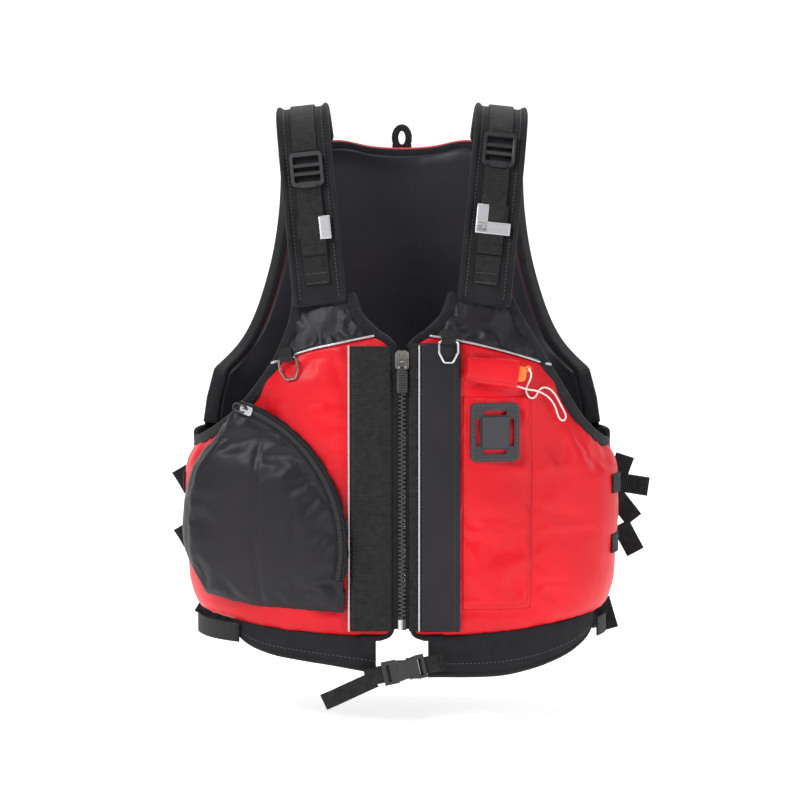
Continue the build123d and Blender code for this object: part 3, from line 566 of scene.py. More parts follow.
RED = nylon("red_nylon", (0.54, 0.002, 0.008), (0.76, 0.004, 0.015), 0.42, 0.01)
BLACK = nylon("black_nylon", (0.007, 0.006, 0.009), (0.014, 0.012, 0.017), 0.46, 0.03)
LINING = nylon("lining_nylon", (0.007, 0.006, 0.009), (0.014, 0.012, 0.017), 0.44, 0.03)
BINDING = webbing("edge_binding", (0.016, 0.016, 0.020), 0.0012)
WEBBING = webbing("strap_webbing", (0.017, 0.017, 0.018))
RIBBED = webbing("placket_webbing", (0.016, 0.016, 0.017), 0.0026)
NEOPRENE = neoprene("neoprene", (0.012, 0.012, 0.014))
PLASTIC = moulded("black_acetal", (0.013, 0.013, 0.015))
LASH = moulded("lash_rubber", (0.020, 0.020, 0.025), 0.42, 0.00015)
TEETH = moulded("zip_teeth_plastic", (0.018, 0.018, 0.020), 0.34)
ORANGE = moulded("whistle_plastic", (0.95, 0.17, 0.012), 0.27, 0.00005)
BRIGHT = metal("nickel_plate", (0.55, 0.55, 0.56), (0.78, 0.78, 0.80), 0.22)
GUNMETAL = metal("gun_metal", (0.16, 0.15, 0.14), (0.34, 0.32, 0.30), 0.27)
SILVER = reflective("reflective_tape", (0.50, 0.50, 0.52))
WHITE_CORD = braid("white_cord", (0.83, 0.83, 0.82))
RED_THREAD = braid("red_thread", (0.36, 0.004, 0.012))
BLACK_THREAD = braid("black_thread", (0.030, 0.030, 0.034))
GREY_THREAD = braid("grey_thread", (0.11, 0.11, 0.12))
TAPE = webbing("zip_tape", (0.014, 0.014, 0.016), 0.0009)


# -------------------- padded panels
padded_jobs = []  # (piece, pinned vertices, how much wider the cloth is cut, pressure, cap in metres)


def pad_lift(grid, edges, crown):
    """Lift of a panel's outer face and rise of its inner one, from the distance to each pinched edge."""
    points = grid.reshape(-1, 3)
    nearest = np.full(len(points), 1e9)
    pinched = np.zeros(len(points))
    for line, pinch in edges:
        away = gap_to(line, points)
        pinched = np.maximum(pinched, pinch * np.exp(-((away / 13) ** 1.3)))
        nearest = np.minimum(nearest, away)
    outer = crown * (1 - np.exp(-nearest / 32)) - pinched
    shape = grid.shape[:2]
    return outer.reshape(shape), (1.5 * pinched).reshape(shape)


def panel(name, place, edges, crown, materials, stitches=(), wider=0.03, pressure=2.5, cap=0.005, level=0):
    """A padded panel over a grid of (turn, z), pinched along its edges and held down along its stitch
    lines."""
    turn, z = place[..., 0], place[..., 1]
    flat = skin(turn, z)
    lines = [(on_skin(line), pinch) for line, pinch in edges]
    outer_lift, inner_rise = pad_lift(flat, lines, crown)
    held = np.zeros(flat.shape[:2], bool)
    for line, depth in stitches:
        away = gap_to(on_skin(line), flat.reshape(-1, 3)).reshape(held.shape)
        outer_lift -= depth * np.exp(-((away / 5) ** 2))
        held |= away < 3.2
    if level:
        share = np.clip((np.abs(flat[..., 0]) - level) / 15, 0, 1)
        outer_lift = outer_lift * share + np.minimum(outer_lift, 0.4) * (1 - share)
        held |= np.abs(flat[..., 0]) < level
    outer = skin(turn, z, outer_lift)
    inner = skin(turn, z, -PANEL + inner_rise)
    piece = outward(slab(name, outer, inner, materials))
    rows, columns = held.shape
    ring = grid_rim(rows, columns)
    pinned = set(ring) | {rows * columns + i for i in ring} | set(np.flatnonzero(held.ravel()).tolist())
    padded_jobs.append((piece, sorted(pinned), wider, pressure, cap))
    return piece


def simulate():
    """Fill every waiting panel at once: cloth under pressure between its seams, then capped, applied and
    smoothed."""
    scene = bpy.context.scene
    rest = {}
    for piece, pinned, wider, pressure, _ in padded_jobs:
        count = len(piece.data.vertices)
        co = np.empty(count * 3)
        piece.data.vertices.foreach_get("co", co)
        rest[piece.name] = co.reshape(-1, 3)
        group = piece.vertex_groups.new(name="seams")
        group.add([int(i) for i in pinned], 1.0, "REPLACE")
        cloth = piece.modifiers.new("cloth", "CLOTH")
        settings = cloth.settings
        settings.quality = 4
        settings.mass = 0.25
        settings.tension_stiffness = 12
        settings.compression_stiffness = 12
        settings.shear_stiffness = 4
        settings.bending_stiffness = 0.25
        settings.use_pressure = True
        settings.uniform_pressure_force = pressure
        settings.vertex_group_mass = "seams"
        settings.shrink_min = -wider
        settings.effector_weights.gravity = 0
        cloth.collision_settings.use_collision = False
    for step in range(1, 19):
        scene.frame_set(step)
    graph = bpy.context.evaluated_depsgraph_get()
    for piece, _, _, _, cap in padded_jobs:
        filled = piece.evaluated_get(graph).to_mesh()
        co = np.empty(len(filled.vertices) * 3)
        filled.vertices.foreach_get("co", co)
        start = rest[piece.name]
        moved = co.reshape(-1, 3) - start
        length = np.linalg.norm(moved, axis=1, keepdims=True)
        capped = start + moved * (cap * np.tanh(length / cap) / np.maximum(length, 1e-9))
        piece.modifiers.clear()
        piece.data.vertices.foreach_set("co", capped.ravel())
        piece.vertex_groups.clear()
        piece.data.update()
        smooth_piece(piece)
    scene.frame_set(1)


def tree_of(piece):
    """A finished piece as something to drop points on."""
    evaluated = piece.evaluated_get(bpy.context.evaluated_depsgraph_get())
    data = evaluated.to_mesh()
    tree = BVHTree.FromPolygons(
        [v.co.copy() for v in data.vertices], [tuple(p.vertices) for p in data.polygons]
    )
    return tree


def drop(tree, points, out, lift):
    """Points moved onto a piece along their outward directions and lifted off it; millimetres."""
    landed = []
    for point, way in zip(points, out):
        start = (Vector(point) + Vector(way) * RAY_START) * MM
        hit = tree.ray_cast(start, -Vector(way), 0.09)[0]
        landed.append(
            np.array(hit) / MM + np.asarray(way) * lift if hit else np.asarray(point) + np.asarray(way) * lift
        )
    return np.array(landed)


def make_front(name):
    """The red padded front under the yoke seam, with its black lining."""
    side = SIDES[name]
    columns, rows = 62, 58
    corner = [(14.1, 13.1), (18.6, 10.1), (24, 9)]
    bottom = resample(joined(spline(corner, 6), spline(HEM, 60)), columns)
    centre = resample(
        joined(
            spline([(14.1, 13.1), (11.1, 17.6), (CENTRE_EDGE, 23)], 6),
            np.array([(CENTRE_EDGE, 23), (CENTRE_EDGE, 300)])
        ),
        rows
    )
    top_line = joined(spline(THROAT, 12), spline(YOKE_SEAM[name], 60), spline(ARMHOLE[name], 80))
    top = resample(top_line, columns)
    outer_side = resample(np.array([HEM[-1], ARMHOLE[name][-1]], float), rows)
    edges = [turn_at(mirrored(line, side)) for line in (bottom, top, centre, outer_side)]
    place = patch(*edges)
    pinches = [
        (turn_at(mirrored(spline(HEM, 80), side)), 6.0),
        (turn_at(mirrored(spline(ARMHOLE[name], 80), side)), 7.0),
        (turn_at(mirrored(spline(YOKE_SEAM[name], 60), side)), 2.0),
        (edges[2], 1.0),
        (edges[3], 3.0),
    ]
    stitches = []
    if name == "left":
        stitches = [
            (turn_at(resample([(131, 37), (131, 252)], 90)), 1.8),
            (turn_at(resample([(60, 37), (131, 37)], 40)), 1.8),
            (turn_at(resample([(58, 266), (112, 256)], 40)), 1.2),
        ]
    piece = panel(f"front_panel_{name}", place, pinches, 1.8, [RED, LINING], stitches, 0.04, 2.0, 0.0028, 60)
    fit(
        piece, f"{name}_front", "shell_red", f"front_shell_{name}", f"front_foam_{name}",
        f"front_lining_{name}"
    )
    return piece


def make_yoke(name):
    """The black nylon yoke from the piped seam up to the strap."""
    side = SIDES[name]
    columns, rows = 36, 26
    seam = resample(spline(YOKE_SEAM[name], 60), columns)
    top = resample([(56, 354), (110, 354)], columns)
    neck = resample(spline(NECK, 40), rows)
    outer_side = resample(spline(YOKE_SIDE[name], 40), rows)
    edges = [turn_at(mirrored(line, side)) for line in (seam, top, neck, outer_side)]
    place = patch(*edges)
    pinches = [(edges[0], 2.0), (edges[1], 3.0), (edges[2], 6.0), (edges[3], 6.0)]
    piece = panel(
        f"yoke_{name}_cloth", place, pinches, 3.0, [BLACK, LINING], wider=0.07, pressure=1.8, cap=0.005
    )
    fit(piece, f"{name}_front", "nylon_black", f"yoke_{name}")
    return piece


def make_back_panel():
    """The high back: red outside, black lining inside, a neck dip at the top."""
    columns, rows = 96, 56
    low = resample([(-236, BACK_FOAM_HEM), (236, BACK_FOAM_HEM)], columns)
    top = resample(spline(BACK_NECK, 80), columns)
    rise = joined(np.array([(236, BACK_FOAM_HEM), (236, 240)]), spline(BACK_ARMHOLE[::-1], 80))
    right_rise = resample(rise, rows)
    left_rise = right_rise * (-1, 1)
    edges = [turn_at(line, behind=True) for line in (low, top, left_rise, right_rise)]
    place = patch(*edges)
    pinches = [(edge, pinch) for edge, pinch in zip(edges, (3.0, 6.0, 6.0, 6.0))]
    piece = panel("back_panel", place, pinches, 3.0, [RED, LINING], wider=0.045, pressure=1.6, cap=0.006)
    fit(piece, "back", "shell_red", "back_shell", "back_foam", "back_lining")
    return piece


# -------------------- binding and piping
def bind(name, place, body, node, lift=-11.6, width=12.5, thick=16.0):
    """Folded cloth binding over a panel's edge, along points (turn, z)."""
    path = skin(place[:, 0], place[:, 1], lift)
    half, tall, soft = width / 2, thick / 2, 3.0
    profile = []
    for cx, cy, start in (
        (half - soft, tall - soft, 0), (-half + soft, tall - soft, 90), (-half + soft, -tall + soft, 180),
        (half - soft, -tall + soft, 270)
    ):
        for step in range(4):
            turn = math.radians(start + step * 30)
            profile.append((cx + soft * math.cos(turn), cy + soft * math.sin(turn)))
    piece = swept(name, path, profile, BINDING)
    return fit(piece, body, "binding", node)


def make_front_trim(name, panel_tree):
    """Bindings of a front's armhole, neck, centre and corner, and its reflective pipings."""
    side, body, node = SIDES[name], f"{name}_front", f"front_trim_{name}"
    armhole = joined(spline(ARMHOLE[name][::-1], 70), spline(YOKE_SIDE[name], 40))
    bind(f"armhole_binding_{name}", turn_at(mirrored(armhole, side)), body, node)
    neck = joined(spline(THROAT, 14), spline(NECK, 40))
    bind(f"neck_binding_{name}", turn_at(mirrored(neck, side)), body, node)
    corner = joined(
        np.array([(CENTRE_EDGE, 60), (CENTRE_EDGE, 23)], float),
        spline([(CENTRE_EDGE, 23), (14.1, 13.1), (24, 9)], 14), spline([(24, 9), (34, 9.3), (44, 9.6)], 8)
    )
    bind(
        f"corner_binding_{name}", turn_at(mirrored(resample(corner, 60), side)), body, node, -13.0, 7.0, 20.0
    )

    seam = spline(YOKE_SEAM[name], 90)
    path = turn_at(mirrored(seam, side))
    path = skin(path[:, 0], path[:, 1])
    path = drop(panel_tree, path - (0, 0, 2), outs(path), 1.0) + (0, 0, 2)
    piping = swept(f"seam_piping_{name}", path, round_profile(1.25), SILVER)
    fit(piping, body, "reflective", node)

    x, y = {"right": (-53.4, -138.2), "left": (17.2, -140.0)}[name]
    upright = np.stack([np.full(60, x), np.full(60, y), np.linspace(ZIP_LOW, 305, 60)], -1)
    piping = swept(f"edge_piping_{name}", upright, round_profile(1.0), SILVER)
    fit(piping, body, "reflective", node)


def stitch_row(name, points, out, body, material, slot_name, length=2.4, gap=1.3, radius=0.32):
    """A row of thread stitches lying along points on a surface; millimetres."""
    points = np.asarray(points, float)
    out = np.broadcast_to(out, points.shape)
    run = np.linalg.norm(np.diff(points, axis=0), axis=1).sum()
    count = int(run / (length + gap))
    fine = resample(np.concatenate([points, out], 1), count * 4)
    vertices, faces = [], []
    ring = np.array([(math.cos(a), math.sin(a)) for a in np.linspace(0, 2 * math.pi, 6, endpoint=False)])
    for k in range(count):
        a, b = fine[4 * k, :3], fine[4 * k + 3, :3]
        up = fine[4 * k + 1, 3:]
        along = (b - a) / max(np.linalg.norm(b - a), 1e-6)
        across = np.cross(along, up)
        start = len(vertices)
        for share, size, rise in ((0, 0.35, -0.25), (0.2, 0.9, 0.1), (0.8, 0.9, 0.1), (1, 0.35, -0.25)):
            at = a + along * length * share + up * rise
            for cx, cy in ring:
                vertices.append(at + across * cx * radius * size + up * cy * radius * size)
        faces += grid_faces(4, 6, start=start, wrap=True)
    piece = mesh_piece(name, vertices, faces, material)
    return fit(piece, body, slot_name)


# -------------------- cargo pocket
def pocket_point(u, z, lift=0.0):
    """A point on the cargo pocket's face: u runs along it towards the zip placket."""
    cos, sin = math.cos(POCKET_YAW), math.sin(POCKET_YAW)
    x = POCKET_ORIGIN[0] + u * cos - sin * lift
    y = POCKET_ORIGIN[1] - u * sin - cos * lift
    return np.stack(np.broadcast_arrays(x, y, z), -1)


POCKET_OUT = np.array([-math.sin(POCKET_YAW), -math.cos(POCKET_YAW), 0])


def zip_arc(radius, start, end, count):
    """Points (u, z) round the pocket zip's centre, from start to end degrees."""
    turn = np.radians(np.linspace(start, end, count + 1))
    return np.stack([POCKET_CENTRE[0] + radius * np.cos(turn), POCKET_CENTRE[1] + radius * np.sin(turn)], -1)


def make_pocket():
    """The cargo pocket: a crowned nylon face inside its zip's arc, with pleats, and walls back to the
    front."""
    columns, rows, knee = 46, 48, 36
    radius = POCKET_ZIP_RADIUS + 6
    low = resample([(-143, 50), (-92, 40), (4, 36)], columns)
    left = resample(
        spline(
            [
                (-143, 50), (-160, 82), (-165, 130), (-155, 178), (-126, 218),
                tuple(zip_arc(radius, 75, 75, 1)[0])
            ],
            80
        ),
        rows
    )
    top = resample(zip_arc(radius, 75, knee, 60), columns)
    right = resample(
        joined(np.array([(4, 36), zip_arc(radius, -13, -13, 1)[0]]), zip_arc(radius, -13, knee, 60)), rows
    )
    place = patch(low, top, left, right)
    u, z = place[..., 0], place[..., 1]
    from_arc = np.hypot(u - POCKET_CENTRE[0], z - POCKET_CENTRE[1]) - POCKET_ZIP_RADIUS
    along_arc = np.degrees(np.arctan2(z - POCKET_CENTRE[1], u - POCKET_CENTRE[0]))
    near_zip = (along_arc > POCKET_ZIP[0] - 4) & (along_arc < POCKET_ZIP[1] + 4)

    flat = pocket_point(u, z)
    outline = joined(low, right)[:-1].tolist() + joined(left, top).tolist()
    outline = [(a, b, 0) for a, b in outline]
    away = gap_to(outline, [(a, b, 0) for a, b in place.reshape(-1, 2)]).reshape(u.shape)
    inside = np.where(near_zip, np.clip(-from_arc - 7, 0, None), away)
    crown = 8.5 * (1 - np.exp(-np.minimum(inside, away) / 24)) * np.where(near_zip & (from_arc > -7), 0, 1)
    lift = crown - np.where(near_zip, 0, 6.0 * np.exp(-((away / 7) ** 1.6)))
    for middle, strength, spread in (((-79, 223), 2.6, 2.6), ((-38, 170), 1.2, 6)):
        bend = middle[0] - 6 * np.sin((z - 40) / 190 * math.pi)
        fade = np.clip((middle[1] - z) / 40, 0, 1) * np.clip((z - 30) / 50, 0, 1)
        lift = lift - strength * np.exp(-((u - bend) / spread) ** 2) * fade
        lift = lift + 0.6 * strength * np.exp(-((u - bend - 2.2 * spread) / (2 * spread)) ** 2) * fade
    face = flat + lift[..., None] * POCKET_OUT

    base = turn_at(np.stack([face[..., 0].ravel(), z.ravel()], -1))
    back = skin(base[:, 0], base[:, 1], -3.0).reshape(face.shape)
    back[..., 0] = face[..., 0]
    back[..., 1] = np.maximum(back[..., 1], face[..., 1] + 3)
    walls = 6
    rows_count, columns_count = u.shape
    count = rows_count * columns_count
    vertices = [face.reshape(-1, 3), back.reshape(-1, 3)]
    faces = grid_faces(rows_count, columns_count) + grid_faces(
        rows_count, columns_count, start=count, flip=True
    )
    ring = grid_rim(rows_count, columns_count)
    outer_ring, inner_ring = face.reshape(-1, 3)[ring], back.reshape(-1, 3)[ring]
    layers = [ring]
    for k in range(1, walls):
        layers.append([2 * count + (k - 1) * len(ring) + i for i in range(len(ring))])
        vertices.append(outer_ring + (inner_ring - outer_ring) * k / walls)
    layers.append([count + i for i in ring])
    for a, b in zip(layers, layers[1:]):
        for i in range(len(ring)):
            k = (i + 1) % len(ring)
            faces.append([a[i], b[i], b[k], a[k]])
    piece = outward(mesh_piece("cargo_pocket_cloth", np.concatenate(vertices), faces, [BLACK]))
    held = (near_zip & (np.abs(from_arc) < 7.5)).ravel()
    pinned = set(np.flatnonzero(held).tolist()) | set(ring) | set(range(count, 2 * count))
    pinned |= set(np.flatnonzero((away < 5).ravel()).tolist())
    padded_jobs.append((piece, sorted(pinned), 0.05, 1.6, 0.006))
    fit(piece, "right_front", "nylon_black", "cargo_pocket")
    return piece


def blocks(name, centres, across, along, out, size, material, body, slot_name, bevel=0.25, taper=1.0):
    """Small bevelled blocks at points, each size = (across, along, out) big, as one piece; millimetres."""
    half = np.asarray(size, float) / 2
    vertices, faces = [], []
    corner = np.array([(-1, -1), (1, -1), (1, 1), (-1, 1)], float)
    layers = [
        (corner * (half[:2] - bevel), -half[2]),
        (corner * half[:2], -half[2] + bevel),
        (corner * half[:2] * (taper, 1), half[2] - bevel),
        (corner * (half[:2] * (taper, 1) - bevel), half[2]),
    ]
    for k, centre in enumerate(centres):
        start = len(vertices)
        a, b, c = (np.asarray(v[k] if np.ndim(v) > 1 else v, float) for v in (across, along, out))
        for plan, rise in layers:
            for x, y in plan:
                vertices.append(np.asarray(centre) + a * x + b * y + c * rise)
        faces += grid_faces(4, 4, start=start, wrap=True)
        faces += [[start + 3, start + 2, start + 1, start], [start + 12, start + 13, start + 14, start + 15]]
    piece = outward(mesh_piece(name, vertices, faces, material, smooth=False))
    return fit(piece, body, slot_name)


def ribbon(name, path, across, out, width, thickness, material, lift=0.0):
    """A flat strap lying along a path with its own directions; millimetres."""
    return swept(name, path, web_profile(width, thickness, lift), material, across, out)


def make_pocket_zip():
    """The pocket's zip: its tape and coil along the arc, and their stitching."""
    start, end = POCKET_ZIP
    arc = zip_arc(POCKET_ZIP_RADIUS, start, end, 90)
    path = pocket_point(arc[:, 0], arc[:, 1])
    cos, sin = math.cos(POCKET_YAW), math.sin(POCKET_YAW)
    turn = np.radians(np.linspace(start, end, 91))
    across = np.stack([np.cos(turn) * cos, -np.cos(turn) * sin, np.sin(turn)], -1)
    out = np.broadcast_to(POCKET_OUT, across.shape)
    tape = ribbon("pocket_zip_tape", path, across, out, 12, 1.0, TAPE, 0.3)
    fit(tape, "right_front", "zip", "pocket_zip")
    pitch = 1.5
    count = int(math.radians(end - start) * POCKET_ZIP_RADIUS / pitch)
    arc = zip_arc(POCKET_ZIP_RADIUS, start + 0.7, end - 0.7, count)
    turn = np.radians(np.linspace(start + 0.7, end - 0.7, count + 1))
    across = np.stack([np.cos(turn) * cos, -np.cos(turn) * sin, np.sin(turn)], -1)
    along = np.stack([-np.sin(turn) * cos, np.sin(turn) * sin, np.cos(turn)], -1)
    coil = blocks(
        "pocket_zip_coil", pocket_point(arc[:, 0], arc[:, 1], 1.7), across, along, POCKET_OUT,
        (4.4, 0.95, 1.3), TEETH, "right_front", "zip", 0.3
    )
    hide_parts("pocket_zip")
    for way in (-1, 1):
        seam = zip_arc(POCKET_ZIP_RADIUS + way * 4.6, start + 1, end - 1, 160)
        line = pocket_point(seam[:, 0], seam[:, 1], 1.35)
        stitch_row(
            f"pocket_zip_stitch_{'outer' if way > 0 else 'inner'}", line, POCKET_OUT, "right_front",
            BLACK_THREAD, "zip", 2.0, 1.0, 0.22
        )


# -------------------- front closure
def upright_webbing(name, x, y, low, high, thickness, material, body, ribs=0.0, pitch=2.6):
    """Webbing standing along the zip from x[0] to x[1], with real woven ribs if ribs is their height."""
    count = int((high - low) / (pitch / 4)) if ribs else 40
    z = np.linspace(low, high, count + 1)
    columns = 13
    across = np.linspace(x[0], x[1], columns)
    edge = np.clip(np.minimum(across - x[0], x[1] - across) / 1.2, 0, 1)
    rib = ribs * 0.5 * (1 + np.cos(2 * math.pi * (z - low) / pitch)) if ribs else np.zeros(len(z))
    front = y - (thickness * (0.35 + 0.65 * np.sqrt(edge)))[None, :] - rib[:, None] * edge[None, :]
    sway = 0.5 * np.sin(z / 46)[:, None]
    grid = np.stack(np.broadcast_arrays(across[None, :] + sway * 0.4, front, z[:, None]), -1)
    backs = grid.copy()
    backs[..., 1] = y
    vertices = np.concatenate([grid.reshape(-1, 3), backs.reshape(-1, 3)])
    faces = closed_faces(len(z), columns)
    uv = np.concatenate([grid[..., [0, 2]].reshape(-1, 2)] * 2)
    piece = outward(mesh_piece(name, vertices, faces, material, uv))
    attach(piece, body)
    return piece


def make_closure():
    """Placket, storm flap, zip tapes and moulded teeth down the front."""
    placket = upright_webbing(
        "placket_webbing", (-52, -10), -137.0, ZIP_LOW, 304, 1.5, RIBBED, "right_front", 0.55
    )
    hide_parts("zip_placket_right")
    narrow = upright_webbing(
        "zip_side_webbing", (6.8, 16.6), -137.0, ZIP_LOW, 307, 1.5, RIBBED, "left_front", 0.5
    )
    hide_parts("storm_flap_left")

    rows, columns = 120, 26
    x = np.linspace(18.0, 58.5, columns)
    z = np.linspace(ZIP_LOW - 0.5, 307, rows)
    share = (x - x[0]) / (x[-1] - x[0])
    fold = 0.5 * np.sin(
        z[:, None] / 23 + 3 * share[None, :]
    ) + 0.35 * np.sin(z[:, None] / 11 - 5 * share[None, :])
    puff = 1.9 * np.sin(math.pi * np.clip(share, 0, 1)) ** 0.5
    seam = 1.0 * np.exp(-((x - 53.5) / 1.2) ** 2)
    front = -137.6 - puff[None, :] - 0.55 * fold * np.sin(math.pi * share)[None, :] + seam[None, :]
    grid = np.stack(np.broadcast_arrays(x[None, :], front, z[:, None]), -1)
    flap = swept_sheet("storm_flap_cloth", grid, (0, 1, 0), 1.2, BLACK)
    fit(flap, "left_front", "nylon_black", "storm_flap_left")
    for at in (22.0, 53.5):
        column = int(np.argmin(np.abs(x - at)))
        line = grid[2:-2, column] + (0, -0.15, 0)
        stitch_row(
            f"storm_flap_stitch_{int(at)}", line, (0.0, -1.0, 0.0), "left_front", BLACK_THREAD, "nylon_black",
            2.4, 1.2, 0.26
        )
    for x_at in (-49.0, -13.0):
        z_line = np.linspace(ZIP_LOW + 2, 302, 90)
        line = np.stack([np.full(90, x_at), np.full(90, -139.0), z_line], -1)
        stitch_row(
            f"placket_stitch_{int(-x_at)}", line, (0.0, -1.0, 0.0), "right_front", BLACK_THREAD, "webbing",
            2.6, 1.2, 0.28
        )

    for name, side in SIDES.items():
        body = f"{name}_front"
        z_line = np.linspace(19, 303, 60)
        path = np.stack([np.full(60, side * 9.2), np.full(60, -136.6), z_line], -1)
        path[-8:, 0] += side * np.linspace(0, 3.2, 8) ** 1.2
        path[-8:, 1] -= np.linspace(0, 1.6, 8)
        tape = ribbon(f"zip_tape_{name}", path, (1.0, 0, 0), (0, 1.0, 0), 12.4, 0.8, TAPE)
        fit(tape, body, "zip", f"zip_stringer_{name}")
        first = 31 + (TOOTH_PITCH / 2 if side > 0 else 0)
        centres = np.array([(side * 1.4, -136.3, first + i * TOOTH_PITCH) for i in range(62)])
        teeth = blocks(
            f"zip_teeth_{name}", centres, (side, 0, 0), (0, 0, 1), (0, -1, 0), (5.2, 2.1, 3.6), TEETH, body,
            "zip", 0.45, 0.86
        )
        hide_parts(f"zip_stringer_{name}")
        ends = np.array([(side * 2.5, -136.3, 298.0), (side * 2.2, -136.3, 23.5)])
        stops = blocks(
            f"zip_end_{name}", ends[1:], (side, 0, 0), (0, 0, 1), (0, -1, 0), (4.0, 11, 3.8),
            BRIGHT if side < 0 else TEETH, body, "zip", 0.6
        )
        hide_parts(f"zip_stringer_{name}")
        top_stop = blocks(
            f"zip_top_stop_{name}", ends[:1], (side, 0, 0), (0, 0, 1), (0, -1, 0), (3.2, 4.2, 3.8), TEETH,
            body, "zip", 0.5
        )
        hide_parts(f"zip_stringer_{name}")


def swept_sheet(name, grid, back, thickness, material, uv=None):
    """A closed sheet over a grid of points, thickened towards a direction; millimetres."""
    rows, columns, _ = grid.shape
    behind = grid + np.asarray(back, float) * thickness
    vertices = np.concatenate([grid.reshape(-1, 3), behind.reshape(-1, 3)])
    faces = closed_faces(rows, columns)
    if uv is not None:
        uv = np.concatenate([uv.reshape(-1, 2)] * 2)
    return outward(mesh_piece(name, vertices, faces, material, uv))


def make_pulls():
    """The main slider's ribbed pull and its wire loop."""
    low, high = 257.5, 283
    z = np.linspace(low, high, 50)
    half = np.interp(z, (low, low + 2, high - 4, high), (4.2, 5.4, 5.4, 2.2))
    share = np.linspace(-1, 1, 11)
    rib = 0.35 * np.sin(2 * math.pi * z / 2.4)
    grid = np.stack(
        np.broadcast_arrays(
            share[None, :] * half[:, None],
            (-143.4 - 0.5 * (1 - share**4))[None, :] - rib[:, None] * (1 - share[None, :] ** 8), z[:, None]
        ),
        -1
    )
    pull = swept_sheet("main_pull_tab", grid, (0, 1, 0), 2.4, PLASTIC)
    fit(pull, "main_pull", "webbing")
    loop = swept(
        "main_pull_wire", rounded_loop(3.1, 9.0, 284.6), round_profile(0.75, 8), BRIGHT,
        *loop_frame(3.1, 9.0, 284.6)
    )
    fit(loop, "main_pull", "steel", "main_pull")


def rounded_loop(half, height, middle, count=40):
    """A closed upright oval of wire on the zip's front."""
    turn = np.linspace(0, 2 * math.pi, count + 1)
    x = half * np.sign(np.cos(turn)) * np.abs(np.cos(turn)) ** 0.7
    z = middle + height / 2 * np.sin(turn)
    return np.stack([x, np.full(count + 1, -142.2), z], -1)


def loop_frame(half, height, middle):
    """Directions across and out of the wire along rounded_loop."""
    path = rounded_loop(half, height, middle)
    along = tangents(path)
    out = np.broadcast_to(np.array([0.0, -1.0, 0.0]), along.shape)
    return np.cross(along, out), out


# -------------------- the straps
def strap_place(side, points):
    """World points, and across and outward directions, along a shoulder strap's side-view points (y, z)."""
    lean = math.radians(STRAP_TILT)
    points = np.asarray(points, float)
    rise = points[:, 1] - STRAP_BASE
    at = np.stack(
        [side * (STRAP_FOOT_X + math.sin(lean) * rise), points[:, 0], STRAP_BASE + math.cos(lean) * rise], -1
    )
    along = tangents(points)
    flat_out = np.stack([along[:, 1], -along[:, 0]], -1)
    up = np.array([side * math.sin(lean), 0, math.cos(lean)])
    out = flat_out[:, :1] * np.array([0.0, 1.0, 0.0]) + flat_out[:, 1:] * up
    across = np.broadcast_to([math.cos(lean), 0.0, -side * math.sin(lean)], out.shape)
    return at, across, out


def strap_stretch(low_z=None, high_z=None, count=90):
    """The part of the strap's side-view line between two heights of its front run."""
    line = spline(STRAP_LINE, 400)
    if low_z is not None:
        crest = int(np.argmax(line[:, 1]))
        front = line[crest:]
        keep = (front[:, 1] >= low_z) & (front[:, 1] <= (high_z or 1e9))
        line = front[keep] if high_z is not None else np.concatenate([line[:crest], front[keep]])
    return resample(line, count)


